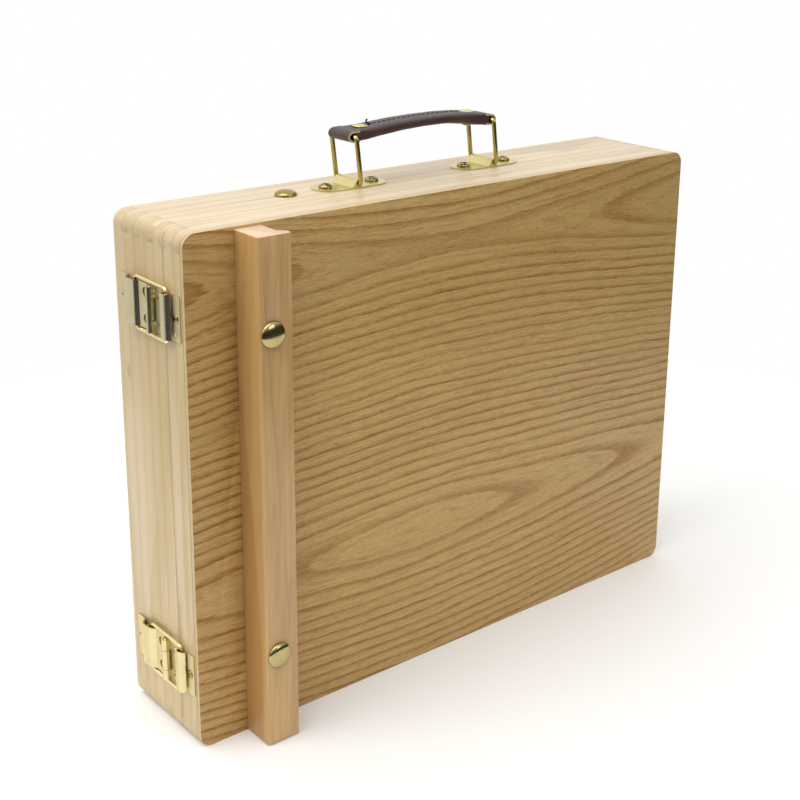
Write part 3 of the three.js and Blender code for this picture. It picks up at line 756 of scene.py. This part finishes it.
def rounded(points, radius, steps=5, closed=True):
    """The same polygon with its corners turned into short curves."""
    count, path = len(points), []
    for number, corner in enumerate(points):
        if not closed and number in (0, count - 1):
            path.append(tuple(corner))
            continue
        corner = Vector(corner)
        before, after = Vector(points[number - 1]), Vector(points[(number + 1) % count])
        reach = min(radius, (before - corner).length * 0.49, (after - corner).length * 0.49)
        start = corner + (before - corner).normalized() * reach
        end = corner + (after - corner).normalized() * reach
        for step in range(steps + 1):
            t = step / steps
            path.append(tuple(start * (1 - t) ** 2 + corner * 2 * t * (1 - t) + end * t * t))
    return path


def circle(centre, radius, sides):
    turns = [math.tau * step / sides for step in range(sides)]
    return [(centre[0] + radius * math.cos(a), centre[1] + radius * math.sin(a)) for a in turns]


def stadium(half_length, half_width, sides=20):
    """A slot-shaped outline along the first axis."""
    reach = half_length - half_width
    right = [-math.pi / 2 + math.pi * step / sides for step in range(sides + 1)]
    outline = [(reach + half_width * math.cos(a), half_width * math.sin(a)) for a in right]
    return outline + [(-x, -y) for x, y in outline]


def sheet_outline(path, thickness, bend):
    """The outline of bent sheet metal whose middle follows `path`."""
    if bend:
        path = rounded(path, bend, closed=False)
    middle_line = [Vector(point) for point in path]
    upper, lower = [], []
    for number, point in enumerate(middle_line):
        before = middle_line[max(number - 1, 0)]
        after = middle_line[min(number + 1, len(middle_line) - 1)]
        ahead = (after - before).normalized()
        out = Vector((-ahead.y, ahead.x)) * thickness / 2
        upper.append(tuple(point + out))
        lower.append(tuple(point - out))
    return upper + lower[::-1]


def box_shape(x, y, z):
    corners = [(x[0], y[0]), (x[1], y[0]), (x[1], y[1]), (x[0], y[1])]
    return prism(corners, *z)


# ---- pieces


def shaped(solids, cutters=()):
    """One mesh from several joined solids less the cutters."""
    whole = add_object("scratch", as_mesh(solids[0]))
    tools = [("UNION", bm) for bm in solids[1:]] + [("DIFFERENCE", bm) for bm in cutters]
    helpers = []
    for operation, bm in tools:
        helper = add_object("scratch", as_mesh(bm))
        helpers.append(helper)
        change = whole.modifiers.new("change", "BOOLEAN")
        change.operation = operation
        change.object = helper
        change.solver = "EXACT"
    seen = whole.evaluated_get(bpy.context.evaluated_depsgraph_get())
    mesh = bpy.data.meshes.new_from_object(seen)
    for scratch in (whole, *helpers):
        data = scratch.data
        bpy.data.objects.remove(scratch)
        bpy.data.meshes.remove(data)
    return mesh


def as_mesh(shape):
    if isinstance(shape, bpy.types.Mesh):
        return shape.copy()
    mesh = bpy.data.meshes.new("shape")
    shape.to_mesh(mesh)
    shape.free()
    return mesh


def add_piece(name, shape, at, body, material, ease=0.0, angle=35):
    """A new piece of the object, drawn in millimetres and placed by the matrix `at`."""
    mesh = as_mesh(shape)
    mesh.name = name
    mesh.transform(at @ Matrix.Scale(MM, 4))
    choices = material if isinstance(material, list) else [material]
    indices = [face.material_index % len(choices) for face in mesh.polygons]
    mesh.materials.clear()
    for choice in choices:
        mesh.materials.append(choice)
    for face, index in zip(mesh.polygons, indices):
        face.material_index = index
        face.use_smooth = True
    mesh.set_sharp_from_angle(angle=math.radians(angle))
    piece = add_object(name, mesh)
    if ease:
        soften(piece, ease)
    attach(piece, body)
    return piece


def stand_in(node, shape, at, material, ease=0.0, angle=35):
    """A finer piece shown in place of a packed one."""
    piece = add_piece(f"{node}_finished", shape, at, BODY_OF[node], material, ease, angle)
    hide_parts(node)


def soften(piece, ease, segments=2, angle=32):
    """Rounds the edges of a piece by `ease` millimetres."""
    bevel = piece.modifiers.new("bevel", "BEVEL")
    bevel.width = ease * MM
    bevel.segments = segments
    bevel.limit_method = "ANGLE"
    bevel.angle_limit = math.radians(angle)
    bevel.harden_normals = True


def dress(node, material, ease):
    """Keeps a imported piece, with its edges eased by `ease` mm and a new material."""
    piece = NODES[node]
    piece.data.materials.clear()
    piece.data.materials.append(material)
    for face in piece.data.polygons:
        face.use_smooth = True
    weld = piece.modifiers.new("weld", "WELD")
    weld.merge_threshold = 0.002 * MM
    soften(piece, ease)


def shifted(x=0.0, y=0.0, z=0.0):
    return Matrix.Translation((x, y, z))


TO_LEFT = Matrix.Rotation(-math.pi / 2, 4, "Y")
TO_RIGHT = Matrix.Rotation(math.pi / 2, 4, "Y")
TO_FRONT = Matrix.Rotation(math.pi / 2, 4, "X")

# ---- wood


def finish_wood():
    for part in ("base", "lid"):
        for side in ("left", "right"):
            dress(f"{part}_{side}_wall", PINE_SIDES, 0.12)
        # The paler board pine on top and bottom is a painted sheen.
        for side in ("top", "bottom"):
            dress(f"{part}_{side}_wall", PINE_BOARDS, 0.12)
    dress("front_panel", ASH, 0.3)
    for node in ("back_panel", "long_divider", "short_divider"):
        dress(node, PLYWOOD, 0.3)
    for node in ("ledge_bar", "stay_arm"):
        dress(node, BEECH, 0.6)


# ---- fasteners


def screw_shape(head, dome, length, shank=1.3):
    """A pan-head screw with a cross recess, head towards +Z, under-head face at z = 0."""
    rim = [(head, 0.0), (head, dome * 0.3)]
    turns = [math.radians(a) for a in (15, 35, 55, 75)]
    top = [(head * math.cos(a), dome * (0.3 + 0.7 * math.sin(a))) for a in turns]
    threads = []
    z = -length + 2.2
    while z < -1.2:
        threads += [(shank * 0.78, z), (shank, z + 0.35)]
        z += 0.7
    body = revolved([(0, -length), *threads, (shank, -0.4), (shank, 0), *rim, *top, (0, dome)], 36)
    arm, slot = head * 0.58, head * 0.13
    deep = (dome * 0.25, dome + 1)
    return shaped([body], [
        box_shape((-arm, arm), (-slot, slot), deep),
        box_shape((-slot, slot), (-arm, arm), deep),
    ])


def bolt_shape(head, dome, length, shank=2.95):
    """A carriage bolt: low dome, thin rim and thread."""
    turns = [math.radians(a) for a in range(0, 90, 9)]
    top = [(head * math.cos(a), 0.5 + (dome - 0.5) * math.sin(a)) for a in turns]
    thread, z = [], -length + 0.6
    while z < -length + 22:
        thread += [(shank * 0.86, z), (shank, z + 0.5)]
        z += 1.0
    shaft = [(0, -length), (shank * 0.8, -length), *thread, (shank, 0)]
    return revolved([*shaft, (head - 0.35, 0), (head, 0.2), *top, (0, dome)], 64)


def washer_shape(outer=9, inner=3.25, thickness=1.2):
    return prism(circle((0, 0), outer, 64), 0, thickness, holes=[circle((0, 0), inner, 40)])


def wing_nut_shape():
    """A cast wing nut on the Z axis, flat face at z = 0 and wings towards -Z."""
    hub = revolved([(0, -6.5), (3.9, -6.5), (4.4, -6.0), (5.5, -0.4), (5.2, 0), (0, 0)], 40)
    half = rounded([
        (0, -2), (4.6, -2.0), (9.4, -2.4), (13.0, -5.6), (13.3, -9.2), (11.6, -10.0),
        (8.0, -9.4), (5.6, -7.2), (3.6, -6.0), (0, -6.0),
    ], 2.2, closed=False)
    outline = half + [(-x, z) for x, z in half[-2:0:-1]]
    wings = prism(outline, -0.85, 0.85, "xzy")
    bore = prism(circle((0, 0), 3.2, 32), -30, 1)
    return shaped([hub, wings], [bore])


SMALL_SCREW = screw_shape(2.3, 1.1, 7.5)
HOOK_SCREW = screw_shape(2.6, 1.0, 7.5)
PLATE_SCREW = screw_shape(4.4, 2.5, 8)
HINGE_SCREW = screw_shape(2.4, 0.7, 7.5)
WING_NUT = wing_nut_shape()


def any_turn():
    """A turn about Z by chance, so that no two slots line up."""
    return Matrix.Rotation(random.uniform(0, math.pi), 4, "Z")


def add_bolt_set(bolt, washer, nut, axis, head_high, turn, head, dome, metal):
    """A carriage bolt along `axis` with its washer and wing nut. `head_high` says whether
    its head is at the high end, and `turn` brings +Z to the side of the head."""

    def at_end(node, near_head, inset=0.0):
        spot = middle(bolt)
        spot[axis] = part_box(node)[near_head == head_high][axis]
        spot[axis] += -inset if head_high else inset
        return Matrix.Translation(spot) @ turn

    low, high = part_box(bolt)
    length = (high[axis] - low[axis]) / MM - dome
    stand_in(
        bolt, bolt_shape(head, dome, length), at_end(bolt, True, dome * MM), metal,
    )
    stand_in(washer, washer_shape(), at_end(washer, False), ZINC, ease=0.15)
    stand_in(nut, WING_NUT, at_end(nut, True), ZINC, ease=0.25)


def add_bolts():
    for end in ("upper", "lower"):
        add_bolt_set(
            f"ledge_bolt_{end}", f"ledge_washer_{end}", f"ledge_wing_nut_{end}",
            axis=1, head_high=False, turn=TO_FRONT, head=7.65, dome=3.1, metal=ZINC,
        )
    add_bolt_set(
        "stay_bolt", "stay_washer", "stay_wing_nut", axis=2, head_high=True,
        turn=Matrix.Identity(4), head=6.75, dome=3.4, metal=OLIVE_BRASS,
    )


# ---- draw latches

HALF = 13.2
AXIS_HEIGHT = 3.4
KNUCKLE = 2.3
SPLIT = 6.45
SCREW_SPOTS = [(7.3 * y, 7.8 * z) for y in (-1, 1) for z in (-1, 1)]


def knuckle(z):
    """A rolled barrel about the lever axis."""
    return prism(circle((-AXIS_HEIGHT, 0), KNUCKLE, 40), *z)


def pin_bore(x, reach):
    """The cutter for a pin's hole along Z."""
    return prism(circle((x, 0), PIN_HOLE, 24), -reach, reach)


def pin_shape(half):
    """A pin of radius 1 along Z with eased ends."""
    ease = 0.25
    return revolved([
        (0, -half), (1 - ease, -half), (1, ease - half), (1, half - ease), (1 - ease, half),
        (0, half),
    ], 20)


def latch_base_shape():
    front, back = -9.7, 13
    corners = [(front, -HALF), (back, -HALF), (back, HALF), (front, HALF)]
    holes = [circle(spot, SCREW_HOLE, 20) for spot in SCREW_SPOTS]
    plate = prism(rounded(corners, 1.2), -AIR - PLATE, -AIR, "yzx", holes=holes)
    solids = [plate]
    for z in ((-HALF, -SPLIT), (SPLIT, HALF)):
        solids.append(knuckle(z))
        web = [(-PLATE / 2, -2.4), (-3.1, -1.9), (-3.1, 1.9), (-PLATE / 2, 2.4)]
        solids.append(prism(web, *z))
    return shaped(solids, [pin_bore(-AXIS_HEIGHT, 30)])


def latch_lever_shape():
    """The thumb lever: a tongue and barrel on the axis, a flat over the base plate with two
    screw windows, a hump over the loop's back bar and a thumb end on the wood."""
    path = [
        (3.3, 1.65), (14.3, 1.65), (16.0, 4.0), (20.9, 4.72), (25.2, 4.6), (28.2, 1.2),
        (29.5, 0.7), (36.8, 0.6),
    ]
    outline = [(-height, y) for y, height in sheet_outline(path, PLATE, 1.1)]
    sheet = prism(outline, -HALF, HALF)
    between = (0.3 - SPLIT, SPLIT - 0.3)
    tongue = box_shape((-2.05, -1.25), (0, 4.2), between)
    barrel = knuckle(between)
    keeper = box_shape((-4.6, -1.1), (20.4, 21.2), (-HALF + 0.1, HALF - 0.1))
    windows = [prism(circle(spot, 2.9, 32), -4, 0, "yzx") for spot in SCREW_SPOTS[2:]]
    thumb = prism(circle((35.4, 0), 0.8, 16), -4, 0, "yzx")
    cutters = [pin_bore(-AXIS_HEIGHT, 30), *windows, thumb]
    return shaped([sheet, tongue, barrel, keeper], cutters)


def latch_loop_shape():
    back, front = (18.1, 2.0), (-16.0, 2.1)
    half = 15.2
    corners = [(back, half), (front, half), (front, -half), (back, -half)]
    points = [(-height, y, z) for (y, height), z in corners]
    path = rounded(points, 2.8, steps=8)
    return tube(path, 1.1, closed=True, sides=20)


def latch_hook_shape():
    """A flat plate, a stem behind the loop's front bar and a hood that curls over it."""
    plate_height = AIR + PLATE / 2
    front, stem, crown = -27.6, -14.0, -16.2
    mouth, hood_depth, hood_rise = 1.9, 3.9, 2.95
    top = mouth + hood_rise
    path = [(front, plate_height), (stem, plate_height), (stem, top), (crown, top)]
    path = rounded(path, 0.8, closed=False)
    turns = [math.radians(a) for a in range(9, 91, 9)]
    path += [(crown - hood_depth * math.sin(a), mouth + hood_rise * math.cos(a)) for a in turns]
    outline = [(-height, y) for y, height in sheet_outline(path, PLATE, 0.0)]
    reach = HALF - 0.2
    hole = prism(circle((-23.6, 0), SCREW_HOLE, 20), -3, 1, "yzx")
    return shaped([prism(outline, -reach, reach)], [hole])


def nail_shape():
    return revolved([(0, -3), (0.35, -3), (0.35, 0), (0.9, 0), (0.75, 0.25), (0, 0.4)], 20)


def add_latches():
    base, lever = latch_base_shape(), latch_lever_shape()
    hook, pin, nail = latch_hook_shape(), as_mesh(pin_shape(HALF)), as_mesh(nail_shape())
    loop = as_mesh(latch_loop_shape())
    for end in ("upper", "lower"):
        axis = middle(f"latch_pin_{end}")
        at = shifted(LEFT, axis.y, axis.z)
        # The upper latch's greyer metal is a painted reflection; both latches are the same brass.
        metal = REFLECTION_GREYED_BRASS if end == "upper" else PALE_BRASS
        stand_in(f"latch_base_{end}", base, at, metal, 0.12)
        stand_in(f"latch_lever_{end}", lever, at, metal, 0.14)
        stand_in(f"latch_hook_{end}", hook, at, metal, 0.14)
        stand_in(f"latch_loop_{end}", loop, at, LOOP_BRASS)
        stand_in(f"latch_pin_{end}", pin, shifted(axis.x, axis.y, axis.z), metal)
        on_plate = LEFT - (PLATE + 2 * AIR) * MM
        for corner in ("front_low", "front_high", "back_low", "back_high"):
            node = f"latch_screw_{end}_{corner}"
            spot = middle(node)
            stand_in(
                node, SMALL_SCREW, shifted(on_plate, spot.y, spot.z) @ TO_LEFT @ any_turn(),
                PALE_BRASS,
            )
        spot = middle(f"hook_screw_{end}")
        stand_in(
            f"hook_screw_{end}", HOOK_SCREW,
            shifted(on_plate, spot.y, spot.z) @ TO_LEFT @ any_turn(), OLIVE_BRASS,
        )
        add_piece(
            f"hook_nail_{end}", nail,
            shifted(on_plate, spot.y + 1.2 * MM, spot.z - 9.5 * MM) @ TO_LEFT,
            BODY_OF[f"latch_hook_{end}"], PALE_BRASS,
        )


# ---- lid hinges


HINGE_HALF = 20
HINGE_SPLIT = 6.3
HINGE_SCREW_Y, HINGE_SCREW_Z = 9, 13


def hinge_leaf_shape(side, knuckles):
    """A leaf on the side +Y (1) or -Y (-1) of the pin, with its knuckles round the pin."""
    half, edge, leaf, pin_height = HINGE_HALF, 2.7, 14, 2.7
    corners = [(edge, -half), (leaf, -half), (leaf, half), (edge, half)]
    corners = [(side * y, z) for y, z in corners]
    screws = [(side * HINGE_SCREW_Y, z * HINGE_SCREW_Z) for z in (-1, 1)]
    holes = [circle(spot, SCREW_HOLE, 20) for spot in screws]
    solids = [prism(rounded(corners, 1.0), AIR, AIR + 1.0, "yzx", holes=holes)]
    for z in knuckles:
        solids.append(prism(circle((pin_height, 0), KNUCKLE, 40), *z))
        solids.append(box_shape((0.46, 1.46), sorted((0, side * 3.3)), z))
    return shaped(solids, [pin_bore(pin_height, 40)])


def add_hinges():
    outer = [(-HINGE_HALF, -HINGE_SPLIT - 0.3), (HINGE_SPLIT + 0.3, HINGE_HALF)]
    base_leaf = hinge_leaf_shape(1, outer)
    lid_leaf = hinge_leaf_shape(-1, [(-HINGE_SPLIT, HINGE_SPLIT)])
    pin = as_mesh(pin_shape(HINGE_HALF))
    for end in ("upper", "lower"):
        axis = middle(f"hinge_pin_{end}")
        at = shifted(RIGHT, axis.y, axis.z)
        stand_in(f"hinge_base_leaf_{end}", base_leaf, at, PALE_BRASS, 0.15)
        stand_in(f"hinge_lid_leaf_{end}", lid_leaf, at, PALE_BRASS, 0.15)
        stand_in(
            f"hinge_pin_{end}", pin, shifted(axis.x, axis.y, axis.z), PALE_BRASS,
        )
        for side, leaf in ((1, "base"), (-1, "lid")):
            for level in (-1, 1):
                spot = shifted(
                    RIGHT + 1.1 * MM, axis.y + side * HINGE_SCREW_Y * MM,
                    axis.z + level * HINGE_SCREW_Z * MM,
                )
                name = f"hinge_screw_{leaf}_{end}_{'low' if level < 0 else 'high'}"
                add_piece(
                    name, HINGE_SCREW, spot @ TO_RIGHT @ any_turn(),
                    BODY_OF[f"hinge_{leaf}_leaf_{end}"], PALE_BRASS,
                )


# ---- handle

RING_SPAN, RING_HEIGHT, WIRE = 25.2, 28.5, 1.45
RING_LEAN = math.radians(-7)
PIVOT = 3.2


def handle_plate_shape():
    """A thin plate with round ends, pressed up over the ring's lower bar."""
    half_length, half_width, screw_x = 25.75, 10.8, 17.3
    barrel_radius, ramp_foot, lip = 2.5, -5.2, 2.25
    plate = prism(stadium(half_length, half_width), AIR, AIR + PLATE)
    turns = [math.radians(135) - math.radians(160) * step / 24 for step in range(25)]
    arch = [
        (ramp_foot, PLATE / 2),
        *((barrel_radius * math.cos(a), PIVOT + barrel_radius * math.sin(a)) for a in turns),
        (lip, PLATE / 2),
    ]
    barrel = prism(arch, -half_width, half_width, "xzy")
    bore = prism(circle((0, PIVOT), WIRE + 0.3, 28), -20, 20, "xzy")
    holes = [prism(circle((side * screw_x, 0), SCREW_HOLE, 20), -1, 3) for side in (-1, 1)]
    return shaped([plate, barrel], [bore, *holes])


def ring_shape():
    half = RING_SPAN / 2
    corners = [(0, half, 0), (0, half, RING_HEIGHT), (0, -half, RING_HEIGHT), (0, -half, 0)]
    return tube(rounded(corners, 2.2, steps=8), WIRE, closed=True, sides=24)


def bezier(points, steps=40):
    """Points along a cubic curve."""
    a, b, c, d = (Vector(point) for point in points)
    return [
        a * (1 - t) ** 3 + b * 3 * t * (1 - t) ** 2 + c * 3 * t * t * (1 - t) + d * t ** 3
        for t in (step / steps for step in range(steps + 1))
    ]


def height_on(curve, x):
    """The height of a curve of points, ordered from left to right, at `x`."""
    for before, after in zip(curve, curve[1:]):
        if x <= after.x:
            part = (x - before.x) / (after.x - before.x)
            return before.y + (after.y - before.y) * part
    return curve[-1].y


EYE, REACH, STRAP_WIDTH = 3.4, 55.0, 20.4
ARCH, PEAK, STRAP_TOP = 3.5, 12.0, 3.2
UNDER, OVER = ARCH - EYE, ARCH + STRAP_TOP
BOTTOM_LINE = bezier([
    (-REACH, -EYE), (-REACH * 0.5, -EYE), (PEAK - 38, UNDER), (PEAK, UNDER),
]) + bezier([
    (PEAK, UNDER), (PEAK + 20, UNDER), (REACH * 0.62, -EYE), (REACH, -EYE),
])[1:]
TOP_LINE = bezier([
    (-REACH, EYE), (-REACH * 0.66, EYE + ARCH * 0.25), (PEAK - 36, OVER), (PEAK, OVER),
]) + bezier([
    (PEAK, OVER), (PEAK + 26, OVER), (REACH * 0.8, EYE + ARCH * 0.4), (REACH, EYE),
])[1:]
RIVET_X = REACH - 12
SKIN = 1.15
BODY_REACH = REACH - 1.7
SEAM_Y = 0.4
SQUARE_FROM = 34


def strap_heights(x):
    return height_on(BOTTOM_LINE, x), height_on(TOP_LINE, x)


def strap_body_shape():
    """The rolled middle of the strap: round sides and a sewn seam along the top."""
    bm = bmesh.new()
    rows, around, stations = [], 72, 96
    for station in range(stations + 1):
        x = -BODY_REACH + 2 * BODY_REACH * station / stations
        low, high = strap_heights(x)
        wobble = 0.12 * math.sin(x * 0.37 + 1) + 0.07 * math.sin(x * 0.9)
        centre, half = (low + high) / 2, (high - low) / 2
        near_end = max(0.0, (abs(x) - SQUARE_FROM) / (BODY_REACH - SQUARE_FROM))
        row = []
        for step in range(around):
            a = math.tau * step / around
            c, s = math.cos(a), math.sin(a)
            squareness = (4.6 if s > 0 else 2.8) + 5.0 * near_end ** 2
            y = STRAP_WIDTH / 2 * math.copysign(abs(c) ** (2 / squareness), c)
            z = half * math.copysign(abs(s) ** (2 / squareness), s)
            if s > 0:
                seam = math.exp(-((y - SEAM_Y) / 0.75) ** 2)
                sewn = 1 - min(1.0, near_end * 1.6) ** 2
                z -= 0.55 * seam * sewn
                z -= 0.35 * (y / (STRAP_WIDTH / 2)) ** 2 * (1 - near_end)
            row.append(bm.verts.new((x, y + wobble * 0.4, centre + z + wobble * 0.3)))
        rows.append(row)
    for lower, upper in zip(rows, rows[1:]):
        for step in range(around):
            after = (step + 1) % around
            bm.faces.new((lower[step], lower[after], upper[after], upper[step]))
    bm.faces.new(rows[0])
    bm.faces.new(rows[-1])
    bmesh.ops.recalc_face_normals(bm, faces=bm.faces)
    return bm


def strap_loop_shape(side):
    """The strap's end: a skin that comes along the top, round the ring and back below."""
    points = []
    start = BODY_REACH - 3.0
    for step in range(8):
        x = start + (REACH - 1.5 - start) * step / 8
        points.append((x, strap_heights(side * x)[1] - SKIN / 2))
    turn_radius = EYE - SKIN / 2
    for step in range(15):
        a = math.pi / 2 - math.pi * step / 14
        points.append((REACH + turn_radius * 1.3 * math.cos(a), turn_radius * math.sin(a)))
    for step in range(8, -1, -1):
        x = start + (REACH - 1.5 - start) * step / 8
        points.append((x, strap_heights(side * x)[0] + SKIN / 2))
    outline = sheet_outline(points, SKIN, 0.0)
    bm = prism([(side * x, z) for x, z in outline], -STRAP_WIDTH / 2, STRAP_WIDTH / 2, "xzy")
    for face in bm.faces:
        face.material_index = 1 if abs(face.normal.y) > 0.9 else 0
    return bm


def rivet_shape(side):
    """A tubular rivet: a low domed cap above, a rolled ring below."""
    low = strap_heights(side * RIVET_X)[0] - 0.15
    high = strap_heights(side * RIVET_X)[1] + 0.05
    return revolved([
        (0, low - 0.7), (1.2, low - 0.7), (2.2, low - 0.75), (3.0, low - 0.5), (3.1, low - 0.2),
        (3.0, low + 0.1), (1.5, low + 0.1), (1.5, high), (4.7, high), (4.85, high + 0.15),
        (4.6, high + 0.4), (3.9, high + 0.58), (2.6, high + 0.7), (1.2, high + 0.75),
        (0, high + 0.76),
    ], 48)


def stitch_shape(x, y, length=2.7):
    """One stitch: a short thread that dips into the seam at both ends."""
    path = []
    for step in range(9):
        t = step / 8
        place = x - length / 2 + length * t
        top = strap_heights(place)[1]
        path.append((place, y, top - 0.62 + 0.42 * math.sin(math.pi * t)))
    return tube(path, 0.33, sides=8)


def add_handle():
    plate, ring = handle_plate_shape(), as_mesh(ring_shape())
    for side, name in ((-1, "left"), (1, "right")):
        spot = middle(f"handle_plate_{name}")
        on_case = shifted(spot.x, spot.y, HEIGHT)
        stand_in(f"handle_plate_{name}", plate, on_case, PLATE_BRASS, 0.18)
        lean = Matrix.Rotation(RING_LEAN, 4, "Y")
        stand_in(
            f"handle_ring_{name}", ring, on_case @ shifted(z=PIVOT * MM) @ lean, BRASS,
        )
        for edge in ("inner", "outer"):
            node = f"handle_screw_{name}_{edge}"
            screw = middle(node)
            on_plate = shifted(screw.x, screw.y, HEIGHT + (PLATE + 2 * AIR) * MM)
            stand_in(node, PLATE_SCREW, on_plate @ any_turn(), OLIVE_BRASS)
    _, strap_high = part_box("handle_strap")
    spot = middle("handle_strap")
    at = shifted(spot.x, spot.y, strap_high.z - OVER * MM)
    body = BODY_OF["handle_strap"]
    stand_in("handle_strap", strap_body_shape(), at, LEATHER, angle=60)
    for side, name in ((-1, "left"), (1, "right")):
        add_piece(
            f"strap_end_{name}", strap_loop_shape(side), at, body, [LEATHER, CUT_LEATHER],
            ease=0.25, angle=40,
        )
        stand_in(
            f"strap_rivet_{name}", rivet_shape(side), at @ shifted(x=side * RIVET_X * MM),
            PLATE_BRASS,
        )
    stitches = bmesh.new()
    first, last, pitch = -RIVET_X + 7, RIVET_X - 6.5, 3.9
    for number in range(int((last - first) / pitch) + 1):
        mesh = as_mesh(stitch_shape(first + number * pitch, SEAM_Y))
        stitches.from_mesh(mesh)
        bpy.data.meshes.remove(mesh)
    add_piece("strap_stitches", stitches, at, body, THREAD, angle=60)
    end_x = -RIVET_X + 5.2
    top = strap_heights(end_x)[1]
    bends = [
        (3.4, 0.4, -0.3), (1.6, 0.5, 0.5), (0.4, 0.9, 0.9), (-0.3, 0.5, 1.7), (-0.1, 0.1, 2.6),
        (0.4, 0.2, 3.2),
    ]
    knot = [(end_x + x, y, top + z) for x, y, z in bends]
    add_piece("strap_thread_end", tube(knot, 0.5, sides=10), at, body, THREAD, angle=60)


random.seed(7)
finish_wood()
add_bolts()
add_latches()
add_hinges()
add_handle()
